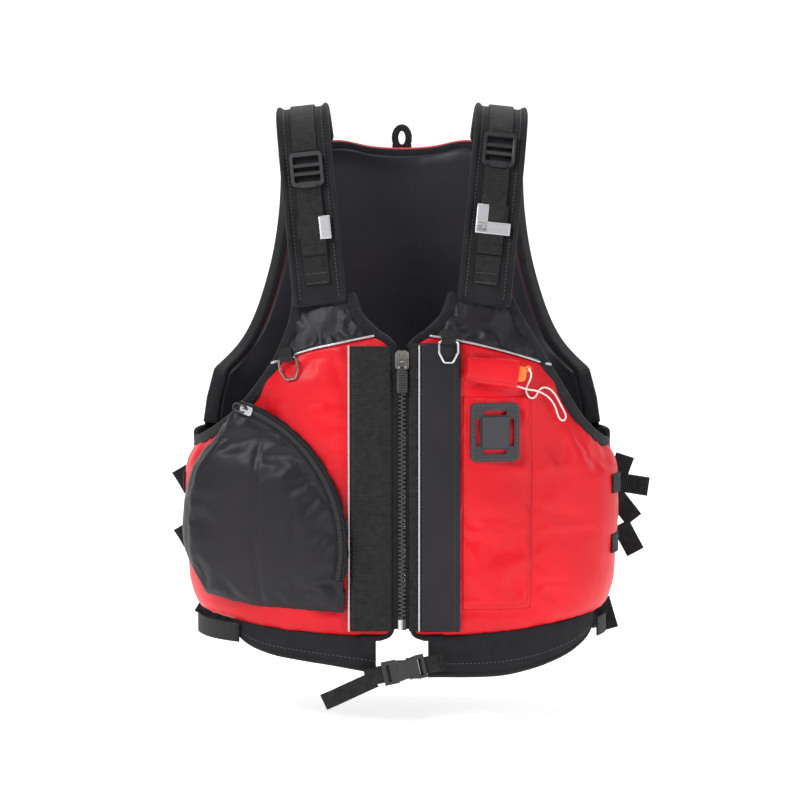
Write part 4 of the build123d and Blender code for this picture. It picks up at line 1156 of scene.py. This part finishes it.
def shoulder_blend(piece):
    """Free a piece from its body and bake its placement into its mesh."""
    piece.parent = None
    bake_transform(piece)


def make_shoulder(name):
    """One shoulder: neoprene pad with rolled edges, webbing, adjuster tail, reflective keeper and
    stitching."""
    side, body = SIDES[name], f"{name}_front"
    path, across, out = strap_place(side, strap_stretch(count=130))
    half = STRAP_WIDTH / 2
    upper = [
        (half - 0.5, -6), (half + 0.3, -2), (half - 0.4, 1.4), (half - 2.4, 2.9), (half - 4.8, 2.2),
        (half - 6.4, 0.2), (half - 8, -0.7), (half - 13, -0.4)
    ]
    lower = [(half - 12, -10.2), (half - 5, -10), (half - 1.6, -8.8)]
    middle = [(8, -0.2), (0, -0.1), (-8, -0.2)]
    profile = upper + middle + [
        (-a, b) for a, b in reversed(upper)
    ] + [(-a, b) for a, b in reversed(lower)] + [(0, -10.4)] + lower
    pad = swept(f"shoulder_pad_{name}_neoprene", path, profile, NEOPRENE, across, out)
    smooth_piece(pad)
    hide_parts(f"shoulder_pad_{name}", "rear_pads")
    shoulder_blend(pad)
    for way in (-1, 1):
        line = path + across * way * (half - 7.6) - out * 0.25
        row = stitch_row(
            f"pad_stitch_{name}_{'inner' if way * side < 0 else 'outer'}", line[2:-2], out[2:-2], body,
            GREY_THREAD, "neoprene", 2.6, 1.4, 0.27
        )
        shoulder_blend(row)

    adjuster = ADJUSTER_HEIGHT[name]
    run, run_across, run_out = strap_place(side, strap_stretch(low_z=adjuster + 18, count=90))
    upper_web = ribbon(f"upper_webbing_{name}", run, run_across, run_out, WEB_WIDTH, WEB, WEBBING, 0.4)
    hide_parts(f"upper_strap_{name}", "rear_straps")
    shoulder_blend(upper_web)

    def front_run(label, low, high, lift, wave=0.0):
        """A stretch of webbing on the strap's front, with a slight wave where it hangs loose."""
        at, side_way, outwards = strap_place(side, strap_stretch(low_z=low, high_z=high, count=60))
        loose = np.linspace(0, 1, len(at))[:, None]
        at = at + outwards * wave * np.sin(loose * math.pi * 0.9) ** 2
        piece = ribbon(label, at, side_way, outwards, WEB_WIDTH, WEB, WEBBING, lift)
        return fit(piece, body, "webbing")

    under = front_run(f"lower_webbing_{name}", 364, adjuster - 15, 0.4)
    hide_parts(f"lower_strap_{name}")
    tail = front_run(f"webbing_tail_{name}", 395, adjuster - 16, 2.6, 2.6)
    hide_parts(f"lower_strap_{name}")

    at, side_way, outwards = strap_place(side, strap_stretch(low_z=394, high_z=404, count=8))
    bundle = ribbon(f"tail_fold_{name}", at, side_way, outwards, WEB_WIDTH + 0.6, 3.4, WEBBING, 2.3)
    fit(bundle, body, "webbing")

    for k, (offset, width, low, high, lift, slot_name) in enumerate(KEEPERS[name]):
        at, side_way, outwards = strap_place(side, strap_stretch(low_z=low, high_z=high, count=10))
        material = SILVER if slot_name == "reflective" else WEBBING
        band = ribbon(
            f"keeper_{name}_{k}", at + side_way * offset, side_way, outwards, width, 1.2, material, lift
        )
        fit(band, body, slot_name, f"reflective_keeper_{name}")
    row_at = strap_place(side, strap_stretch(low_z=366, high_z=376, count=8))
    for k in (0, -1):
        start = row_at[0][k] - row_at[1][k] * 10.5 + row_at[2][k] * 2.2
        end = row_at[0][k] + row_at[1][k] * 10.5 + row_at[2][k] * 2.2
        line = resample([start, end], 20)
        stitch_row(
            f"strap_tack_{name}_{'low' if k else 'high'}", line, row_at[2][k], body, GREY_THREAD, "webbing",
            1.8, 0.8, 0.3
        )


# -------------------- skirts, sides, mesh and belt
def side_turn(name, y, z):
    """The turn of points near the wearer's side, at depths y and heights z."""
    _, front, back = section(z)
    y = np.asarray(y, float)
    angle = np.degrees(np.arcsin(np.clip(np.abs(y) / np.where(y < 0, front, back), 0, 1) ** (ROUNDNESS / 2)))
    angle = np.where(y < 0, angle, -angle)
    return angle if name == "left" else 180 - angle


def side_blend(piece):
    """Free a piece from its body and bake its placement into its mesh."""
    piece.parent = None
    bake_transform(piece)


def make_front_skirt(name):
    """The neoprene skirt under a front's hem, with a turned and stitched edge."""
    side, body = SIDES[name], f"{name}_front"
    columns, rows = 72, 12
    low = spline(SKIRT_LOW[name], 90)
    hem = spline(HEM, 90)
    x = np.linspace(low[0, 0], low[-1, 0], columns)
    bottom, top = np.interp(x, low[:, 0], low[:, 1]), np.interp(x, hem[:, 0], hem[:, 1]) + 2
    share = np.linspace(0, 1, rows)[:, None]
    z = bottom[None] + (top - bottom)[None] * share
    place = turn_at(
        np.stack([side * np.broadcast_to(x, z.shape).ravel(), z.ravel()], -1)
    ).reshape(rows, columns, 2)
    wave = 0.9 * np.sin(x / 19 + side)[None] * (1 - share) + 0.4 * np.sin(x / 7.3)[None] * (1 - share) ** 2
    outer = skin(place[..., 0], z, -4.2 + 1.3 * np.sin(math.pi * share) + wave)
    inner = skin(place[..., 0], z, -9.4 + wave)
    piece = outward(slab(f"skirt_{name}", outer, inner, [NEOPRENE, NEOPRENE]))
    fit(piece, body, "neoprene", f"front_skirt_{name}")
    smooth_piece(piece)
    edge = skin(place[0, :, 0], z[0], -6.7 + wave[0])
    hem_roll = swept(f"skirt_edge_{name}", edge, web_profile(7.5, 7.0, -3.5), NEOPRENE)
    fit(hem_roll, body, "neoprene")
    line = outer[3]
    stitch_row(f"skirt_stitch_{name}", line, outs(line), body, GREY_THREAD, "neoprene", 2.6, 1.5, 0.3)


def make_back_low():
    """The back's skirt and waist belt."""
    end = turn_at([(-400, 1), (400, 1)], behind=True)[:, 0]
    turn = np.linspace(end[0], end[1], 110)
    hem = spline(HEM, 90)
    line = skin(turn, 5.0)
    top = np.interp(np.abs(line[:, 0]), hem[:, 0], hem[:, 1])
    share = np.linspace(0, 1, 8)[:, None]
    z = -10 + (top + 10)[None] * share
    spread = np.broadcast_to(turn, z.shape)
    outer = skin(spread, z, -4.0 + np.sin(math.pi * share))
    piece = outward(slab("back_skirt_panel", outer, skin(spread, z, -9.2), [NEOPRENE, NEOPRENE]))
    fit(piece, "back", "neoprene", "back_skirt")
    smooth_piece(piece)
    belt = swept("back_belt", skin(turn, 1.0, 0.3), web_profile(BELT_WIDTH, WEB, 0), WEBBING)
    fit(belt, "back", "webbing", "belt_webbing_back")


def punched(name, turn_low_high, low, high, across_cells, up_cells, lift):
    """Open mesh cloth: cells with round holes between turns and heights; low may be a function of x."""
    turns = np.linspace(turn_low_high[0], turn_low_high[1], 2 * across_cells + 1)
    bottoms = low(skin(turns, 20.0)[:, 0]) if callable(low) else np.full(len(turns), low)

    def spot(u, v):
        turn = np.interp(u, np.arange(len(turns)), turns)
        base = np.interp(u, np.arange(len(turns)), bottoms)
        z = base + (high - base) * v / (2 * up_cells)
        return skin(turn, z, lift)

    v, u = np.mgrid[0:2 * up_cells + 1, 0:2 * across_cells + 1]
    grid = spot(u.ravel().astype(float), v.ravel().astype(float))
    width = 2 * across_cells + 1
    steps = [(-1, -1), (0, -1), (1, -1), (1, 0), (1, 1), (0, 1), (-1, 1), (-1, 0)]
    turning = np.radians(np.arange(-135, 225, 45))
    vertices, faces = [grid], []
    count = len(grid)
    for j in range(up_cells):
        for i in range(across_cells):
            cu, cv = 2 * i + 1.0, 2 * j + 1.0
            vertices.append(spot(cu + 0.66 * np.cos(turning), cv + 0.66 * np.sin(turning)))
            outer = [int((cv + dv) * width + cu + du) for du, dv in steps]
            for k in range(8):
                m = (k + 1) % 8
                faces.append([outer[k], outer[m], count + m, count + k])
            count += 8
    vertices = np.concatenate(vertices)
    used = np.unique(np.array(faces))
    renumber = np.zeros(len(vertices), int)
    renumber[used] = np.arange(len(used))
    piece = mesh_piece(name, vertices[used], renumber[np.array(faces)], BINDING)
    thick = piece.modifiers.new("thickness", "SOLIDIFY")
    thick.thickness = 0.0011
    return piece


def make_mesh():
    """Mesh cloth at the back under the panel and in the side gussets, with bound armhole bands."""
    hem = spline(HEM, 90)
    end = turn_at([(-400, 110), (400, 110)], behind=True)[:, 0]
    piece = punched(
        "back_mesh_cloth", end, lambda x: np.interp(np.abs(x), hem[:, 0], hem[:, 1]), 214, 96, 38, -6.7
    )
    fit(piece, "back", "mesh", "back_mesh")
    for name in SIDES:
        ends = side_turn(name, [42, -3], [110, 110])
        piece = punched(f"side_mesh_{name}", ends, 30, 200, 9, 34, -6.7)
        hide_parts("side_mesh")
        side_blend(piece)
        depth = np.linspace(44, -6, 30)
        path = skin(side_turn(name, depth, np.full(30, 204.0)), np.full(30, 204.0), -5.5)
        band = swept(f"armhole_band_{name}", path, web_profile(16, 6.5, -3.2), BINDING)
        side_blend(band)


def laid(trees, path, lift):
    """A path lifted clear of the pieces under it, with the lift eased along it."""
    out = outs(path)
    rise = np.zeros(len(path))
    for k, (point, way) in enumerate(zip(path, out)):
        for tree in trees:
            hit = tree.ray_cast((Vector(point) + Vector(way) * RAY_START) * MM, -Vector(way), 0.06)[0]
            if hit:
                rise[k] = max(rise[k], float(np.dot(np.array(hit) / MM - point, way)))
    wide = np.array([rise[max(0, k - 3):k + 4].max() for k in range(len(rise))])
    eased = np.convolve(np.pad(wide, 3, mode="edge"), np.ones(7) / 7, "valid")
    return path + out * (eased + lift)[:, None]


# Each loose tail at the sides: side, middle, length and lean in degrees.
SIDE_TAILS = [
    ("left", (243, 16, 150), 38, -8), ("left", (241, 20, 92), 34, -62), ("left", (233, 12, 170), 24, 72),
    ("left", (236, 13, 126), 34, -52), ("left", (216, 12, 12), 34, -74),
    ("right", (-229, 16, 156), 26, 60), ("right", (-229, 20, 96), 22, 60), ("right", (-205, 12, 22), 28, -58),
]


def make_side_straps(trees):
    """Adjusting straps round the sides, with loose tails."""
    for name, reach in (("right", -34), ("left", -60)):
        for row, z in (("upper", 158.0), ("lower", 96.0)):
            depth = np.linspace(78, reach, 60)
            path = skin(side_turn(name, depth, np.full(60, z)), np.full(60, z))
            strap = swept(
                f"side_strap_{name}_{row}", laid(trees[name], path, 0.3), web_profile(BELT_WIDTH, WEB, 0),
                WEBBING
            )
            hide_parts("side_straps")
            side_blend(strap)
    for k, (name, middle, length, lean) in enumerate(SIDE_TAILS):
        side, lean = SIDES[name], math.radians(lean)
        run = np.array([side * math.cos(lean), 0, math.sin(lean)])
        share = np.linspace(-0.5, 0.5, 24)
        path = np.array(middle, float) + share[:, None] * length * run
        path[:, 1] += 2.2 * np.sin((share + 0.5) * math.pi * 1.3)
        across = np.broadcast_to([-side * math.sin(lean), 0, math.cos(lean)], path.shape)
        out = np.broadcast_to([0.0, -1.0, 0.0], path.shape)
        tail = ribbon(f"side_tail_{k}", path, across, out, BELT_WIDTH, WEB, WEBBING)
        side_blend(tail)
        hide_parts("side_straps")


def make_side_belts():
    """The waist belt's run from the back round each side to the front skirt."""
    for name, reach in (("right", -100), ("left", -62)):
        depth = np.linspace(52, reach, 70)
        height = 1 + 9 * np.clip((52 - depth) / 90, 0, 1)
        path = skin(side_turn(name, depth, height), height, 0.4)
        belt = swept(f"side_belt_{name}", path, web_profile(BELT_WIDTH, WEB, 0), WEBBING)
        side_blend(belt)


BUCKLE_AT = np.array([-4.0, -145.0, -22.0])
BUCKLE_LEAN = math.radians(12)
BUCKLE_WEB = 16.8
TAIL_AT = np.array([-41.0, -149.0, -33.0])
TAIL_LEAN = math.radians(25)


def buckle_path(points, origin=BUCKLE_AT, lean=BUCKLE_LEAN):
    """Points (along, lift) of a belt in the buckle's plane, with directions across and out of the strap."""
    run = np.array([math.cos(lean), 0, math.sin(lean)])
    points = spline(points, 70)
    path = origin + points[:, :1] * run + points[:, 1:] * np.array([0.0, -1.0, 0.0])
    along = tangents(path)
    across = np.broadcast_to([-math.sin(lean), 0, math.cos(lean)], path.shape)
    return path, across, np.cross(across, along)


def make_belts():
    """Belt webbing threaded through both halves of the buckle, with its loose tail."""
    left = ribbon(
        "belt_left",
        *buckle_path(
            [(46, -2.6), (36, -2.2), (27, -2.0), (23.6, -1.6), (21.6, 0.2), (23.6, 1.9), (28, 1.9), (42, 0.4)]
        ),
        BUCKLE_WEB, WEB, WEBBING
    )
    fit(left, "left_front", "webbing", "belt_webbing_left")
    right = ribbon(
        "belt_right",
        *buckle_path(
            [
                (-34, -2.4), (-22, -2.2), (-13, -2.0), (-9.6, -1.4), (-8.0, 0.4), (-10, 2.0), (-16, 2.2),
                (-33, 1.6)
            ]
        ),
        BUCKLE_WEB, WEB, WEBBING
    )
    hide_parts("belt_webbing_right")
    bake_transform(right)
    path, across, out = buckle_path(
        [(-43, -3.4), (-30, -1.6), (-18, -2.0), (0, -1.2), (14, -0.4)], TAIL_AT, TAIL_LEAN
    )
    tail = ribbon("belt_tail", path - across * 3, across, out, BUCKLE_WEB, WEB, WEBBING)
    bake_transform(tail)
    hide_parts("belt_webbing_right")


# -------------------- whistle pocket and cord
# The whistle draws out along its sleeve, whose face is level outwards and stands off the body shape.
SLEEVE_MIDDLE = (88, 278.5)
SLEEVE_STANDOFF = 7.5
SLEEVE_ALONG = np.array(JOINTS["whistle_draw"]["axis"])
SLEEVE_OUT = np.array([SLEEVE_ALONG[1], -SLEEVE_ALONG[0], 0]) / math.hypot(SLEEVE_ALONG[0], SLEEVE_ALONG[1])
SLEEVE_UP = np.cross(SLEEVE_OUT, SLEEVE_ALONG)
SLEEVE_AT = on_skin(turn_at([SLEEVE_MIDDLE]))[0] + SLEEVE_STANDOFF * SLEEVE_OUT


def sleeve_point(a, b, c):
    """A point in the whistle sleeve's own directions: along it, up it, out of it."""
    return SLEEVE_AT + np.multiply.outer(
        a, SLEEVE_ALONG
    ) + np.multiply.outer(b, SLEEVE_UP) + np.multiply.outer(c, SLEEVE_OUT)


def oval_loft(name, stations, material, sides=28, power=2.6, closed=True):
    """A lofted piece in the sleeve's directions through ovals (along, middle up, middle out, half up, half
    out)."""
    turn = np.linspace(0, 2 * math.pi, sides, endpoint=False)
    cos = np.sign(np.cos(turn)) * np.abs(np.cos(turn)) ** (2 / power)
    sin = np.sign(np.sin(turn)) * np.abs(np.sin(turn)) ** (2 / power)
    rings = [
        sleeve_point(np.full(sides, a), up + tall * cos, out + deep * sin)
        for a, up, out, tall, deep in stations
    ]
    faces = grid_faces(len(rings), sides, wrap=True)
    if closed:
        faces += [list(range(sides))[::-1], [(len(rings) - 1) * sides + i for i in range(sides)]]
    return outward(mesh_piece(name, np.concatenate(rings), faces, material))


def make_chest(tree):
    """The red chest pocket on the left front, its whistle sleeve, whistle and stitching."""
    columns, rows = 40, 90
    x, z = np.meshgrid(np.linspace(61, 130.5, columns), np.linspace(37.5, 253, rows))
    place = turn_at(np.stack([x.ravel(), z.ravel()], -1))
    flat = skin(place[:, 0], place[:, 1])
    out = outs(flat)
    pucker = 0.5 * np.sin(x / 3.1) * np.exp(-((z - 251) / 9) ** 2) + 0.35 * np.sin(x / 9 + z / 14)
    face = (drop(tree, flat, out, 0.7) + out * pucker.reshape(-1, 1)).reshape(rows, columns, 3)
    patch_piece = swept_sheet("chest_pocket_cloth", face, -out.reshape(rows, columns, 3), 1.1, RED)
    fit(patch_piece, "left_front", "shell_red", "chest_pocket")
    rim = {"side": face[3:-3, -3], "low": face[2, 2:-2], "inner": face[3:-3, 2]}
    for label, line in rim.items():
        stitch_row(
            f"chest_stitch_{label}", line, outs(line), "left_front", RED_THREAD, "shell_red", 2.4, 1.3, 0.3
        )

    a = np.linspace(-26, 27, 16)
    share = (a + 27) / 54
    stations = [
        (
            at, 0.4 * math.sin(at / 8), -0.8, 12.2 + 2.6 * math.sin(k * math.pi / 2), 5.2 + 1.4 * k**0.6
        ) for at, k in zip(a, share)
    ]
    sleeve = oval_loft("whistle_sleeve", stations, RED, closed=False)
    wall = sleeve.modifiers.new("wall", "SOLIDIFY")
    wall.thickness = 0.001
    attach(smooth_piece(sleeve), "left_front")
    run = np.linspace(-24, 25, 50)
    line = sleeve_point(run, np.full(50, -9.6), 3.7 + 1.4 * ((run + 27) / 54) ** 0.6)
    stitch_row("sleeve_stitch", line, SLEEVE_OUT, "left_front", RED_THREAD, "shell_red", 2.4, 1.3, 0.3)

    profile = [
        (-23, 0.3), (-22.4, 0.62), (-21, 0.82), (-18, 0.95), (-10, 1), (8, 1), (16, 0.97), (20, 0.9),
        (22, 0.72), (23, 0.4)
    ]
    whistle = oval_loft(
        "whistle_body", [(13 + at, 1.5, 0, 8.5 * s, 3.8 * s) for at, s in profile], ORANGE, 36, 3.2
    )
    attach(smooth_piece(whistle), "whistle")
    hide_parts("whistle")
    turn = np.linspace(0, 2 * math.pi, 25)
    loop = sleeve_point(37 + 2.3 * np.cos(turn), 7.5 + 2.3 * np.sin(turn), np.zeros(25))
    radial = (loop - sleeve_point(37.0, 7.5, 0.0)) / 2.3
    lug = swept(
        "whistle_lug", loop, round_profile(0.95), ORANGE, radial, np.broadcast_to(SLEEVE_OUT, loop.shape),
        ends=False
    )
    fit(lug, "whistle", "whistle_orange")
    return whistle, lug


def make_lanyard(whistle, lug):
    """The whistle's braided cord, a tube along the route's smooth line."""
    data = bpy.data.curves.new("lanyard_route", "CURVE")
    data.dimensions = "3D"
    data.resolution_u = 12
    route = data.splines.new("NURBS")
    route.points.add(len(LANYARD) - 1)
    for point, at in zip(route.points, LANYARD):
        point.co = (*at, 1)
    route.order_u = 3
    route.use_endpoint_u = True
    holder = bpy.data.objects.new("lanyard_route", data)
    bpy.context.scene.collection.objects.link(holder)
    bpy.context.view_layer.update()
    line = bpy.data.meshes.new_from_object(holder)
    points = np.array([tuple(v.co) for v in line.vertices])
    bpy.data.objects.remove(holder)
    along = tangents(points)
    across = [np.cross(along[0], (0, 0, 1.0))]
    for way in along[1:]:
        turned = across[-1] - way * np.dot(across[-1], way)
        across.append(turned / np.linalg.norm(turned))
    across[0] /= np.linalg.norm(across[0])
    across = np.array(across)
    cord = swept(
        "whistle_cord", points / MM, round_profile(CORD_DIAMETER / MM / 2, 12), WHITE_CORD, across,
        np.cross(across, along)
    )
    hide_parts("whistle_lanyard")
    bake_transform(cord)


# -------------------- small fittings
def make_ring_tabs():
    """Folded webbing tabs that hold the D-rings."""
    for name in SIDES:
        joint = JOINTS[f"d_ring_{name}_swing"]
        pivot, axis = np.array(joint["pos_m"]) / MM, -np.array(joint["axis"]) / np.linalg.norm(joint["axis"])
        out = outs(pivot[None])[0]
        out -= axis * np.dot(out, axis)
        out /= np.linalg.norm(out)
        up = np.cross(out, axis)
        up *= np.sign(up[2])
        loop = spline([(10.5, -1.6), (4, -2.2), (0, -2.5), (-2.3, 0), (0, 2.4), (4, 1.6), (10.5, -0.2)], 60)
        path = pivot + loop[:, :1] * up + loop[:, 1:] * out
        along = tangents(path)
        across = np.broadcast_to(axis, path.shape)
        tab = ribbon(f"ring_tab_{name}", path, across, np.cross(across, along), 14.4, 1.0, WEBBING)
        fit(tab, f"{name}_front", "webbing", f"d_ring_tab_{name}")


def make_hang_loop():
    """The webbing loop at the back of the neck."""
    turn = np.linspace(0, 2 * math.pi, 61)
    path = np.stack([7.4 * np.cos(turn), np.full(61, 97.0), 519 + 11.0 * np.sin(turn)], -1)
    along = tangents(path)
    out = np.broadcast_to([0.0, -1.0, 0.0], path.shape)
    loop = ribbon("hang_loop_webbing", path, np.cross(along, out), out, 7.4, 3.0, WEBBING, -1.5)
    fit(loop, "back", "webbing", "hang_loop")


def make_loop_tab(tree):
    """The webbing tab, sewn to the back, that the hang loop comes out of."""
    z = np.linspace(474, 503, 24)
    path = np.stack([np.zeros(24), np.full(24, 92.0), z], -1)
    path = drop(tree, path, np.broadcast_to([0.0, 1.0, 0.0], path.shape), 0.5)
    path = resample(np.concatenate([path, [(0, 97.2, 507), (0, 97.2, 512)]]), 40)
    along = tangents(path)
    across = np.broadcast_to([1.0, 0.0, 0.0], path.shape)
    tab = ribbon("hang_loop_tab", path, across, np.cross(across, along), 21, 2.0, WEBBING)
    fit(tab, "back", "webbing")
    for label, height in (("low", 478.0), ("high", 492.0)):
        k = int(np.argmin(np.abs(path[:, 2] - height)))
        line = path[k] + np.linspace(-8.5, 8.5, 20)[:, None] * np.array([1.0, 0, 0]) + (0, 2.2, 0)
        stitch_row(
            f"hang_loop_tack_{label}", line, (0.0, 1.0, 0.0), "back", GREY_THREAD, "webbing", 1.8, 0.8, 0.3
        )


def make_back_trim():
    """Bindings round the back panel."""
    rise = joined(np.array([(236, BACK_FOAM_HEM), (236, 240)], float), spline(BACK_ARMHOLE[::-1], 80))
    lines = {
        "neck": spline(BACK_NECK, 90),
        "left": rise,
        "right": rise * (-1, 1),
        "low": resample([(-236, BACK_FOAM_HEM), (236, BACK_FOAM_HEM)], 110),
    }
    for label, line in lines.items():
        bind(f"back_binding_{label}", turn_at(resample(line, 100), behind=True), "back", "back_trim")
    rim = turn_at(resample(spline(BACK_NECK, 90), 90), behind=True)[14:-14]
    roll = swept("back_neck_roll", skin(rim[:, 0], rim[:, 1] + 4.5, -8.5), round_profile(3.6, 12), RED)
    fit(roll, "back", "shell_red")


def lash_stitches():
    """Dashed stitching round the lash tab's edge."""
    middle = np.array([92.5, -131.2, 217.5])
    out = outs(middle[None])[0]
    along = np.cross((0, 0, 1.0), out)
    along *= np.sign(along[0])
    half, tall = 22.6, 27.2
    corners = np.array([(-half, -tall), (half, -tall), (half, tall), (-half, tall), (-half, -tall)])
    line = resample(corners, 160)
    path = middle + line[:, :1] * along + line[:, 1:] * np.array([0, 0, 1.0]) + out * 4.5
    stitch_row("lash_stitch", path, out, "left_front", GREY_THREAD, "lash_plastic", 2.8, 1.6, 0.34)


MOULDED = {
    "ladder_lock_right": PLASTIC, "ladder_lock_left": PLASTIC,
    "tri_glides_right": PLASTIC, "tri_glides_left": PLASTIC,
    "buckle_female": PLASTIC, "buckle_male": PLASTIC,
    "buckle_arm_upper": PLASTIC, "buckle_arm_lower": PLASTIC,
    "lash_tab": LASH, "main_slider": GUNMETAL, "pocket_slider": BRIGHT, "pocket_pull": PLASTIC,
    "d_ring_right": GUNMETAL, "d_ring_left": BRIGHT,
}


def finish_hardware():
    """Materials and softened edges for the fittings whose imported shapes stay."""
    for name, material in MOULDED.items():
        node = frame["nodes"][name]
        for socket in node.material_slots:
            socket.material = material
        weld = node.modifiers.new("weld", "WELD")
        weld.merge_threshold = 0.00001
        bevel = node.modifiers.new("edges", "BEVEL")
        bevel.width = 0.00035
        bevel.segments = 2
        bevel.limit_method = "ANGLE"
        bevel.angle_limit = math.radians(35)


# -------------------- making the jacket
fronts = {name: make_front(name) for name in SIDES}
for name in SIDES:
    make_yoke(name)
back_panel = make_back_panel()
make_pocket()
simulate()
trees = {name: [tree_of(fronts[name]), tree_of(back_panel)] for name in SIDES}
for name in SIDES:
    make_front_trim(name, trees[name][0])
    make_front_skirt(name)
    make_shoulder(name)
make_back_trim()
make_back_low()
make_mesh()
make_side_straps(trees)
make_side_belts()
make_pocket_zip()
make_closure()
make_pulls()
make_belts()
make_lanyard(*make_chest(trees["left"][0]))
make_ring_tabs()
make_hang_loop()
make_loop_tab(trees["left"][1])
lash_stitches()
finish_hardware()


# -------------------- floor and lights
def plain(name, colour, roughness):
    look = Look(name, colour, roughness)
    look.mixed(look.noise(3, 2), [0.98 * c for c in colour], colour)
    return look.material


def area_light(name, place, power, size):
    """A soft square light aimed at the jacket."""
    data = bpy.data.lights.new(name, "AREA")
    data.energy, data.size = power, size
    light = bpy.data.objects.new(name, data)
    light.location = place
    light.rotation_euler = (AIM - Vector(place)).to_track_quat("-Z", "Y").to_euler()
    bpy.context.scene.collection.objects.link(light)


def studio_sweep():
    """A pale floor that curves up into a wall well behind the jacket."""
    reach, floor_z, bend = 6000.0, -90.0, 1500.0
    turn = np.radians(np.linspace(0, 90, 13))
    line = [(-reach, floor_z)] + [
        (3000 + bend * math.sin(t), floor_z + bend * (1 - math.cos(t))) for t in turn
    ]
    line.append((3000 + bend, reach))
    grid = [[(x, y, z) for x in (-2 * reach, 2 * reach)] for y, z in line]
    paper = plain("studio_paper", (0.9, 0.9, 0.9), 0.8)
    shader = paper.node_tree.nodes["Principled BSDF"]
    shader.inputs["Emission Color"].default_value = (1, 1, 1, 1)
    shader.inputs["Emission Strength"].default_value = 0.62
    return mesh_piece("studio_floor", np.array(grid).reshape(-1, 3), grid_faces(len(line), 2), paper)


floor = studio_sweep()
area_light("key_light", (-1.4, -1.9, 1.9), 52, 0.8)
area_light("fill_light", (1.9, -1.5, 0.9), 13, 1.4)
area_light("top_light", (0.2, 0.6, 2.2), 22, 1.2)
world = bpy.data.worlds.new("studio")
world.use_nodes = True
world.node_tree.nodes["Background"].inputs["Color"].default_value = (1, 1, 1, 1)
world.node_tree.nodes["Background"].inputs["Strength"].default_value = 0.26
bpy.context.scene.world = world
bpy.context.scene.view_settings.view_transform = "Standard"

lens = bpy.data.cameras.new("camera")
lens.sensor_width = 36
lens.lens = lens.sensor_width / 2 / VIEW_HALF_WIDTH * CAMERA_DISTANCE
camera = bpy.data.objects.new("camera", lens)
camera.location = AIM + CAMERA_DISTANCE * Vector((0, -math.cos(CAMERA_ELEVATION), math.sin(CAMERA_ELEVATION)))
camera.rotation_euler = (AIM - camera.location).to_track_quat("-Z", "Y").to_euler()
bpy.context.scene.collection.objects.link(camera)
bpy.context.scene.camera = camera
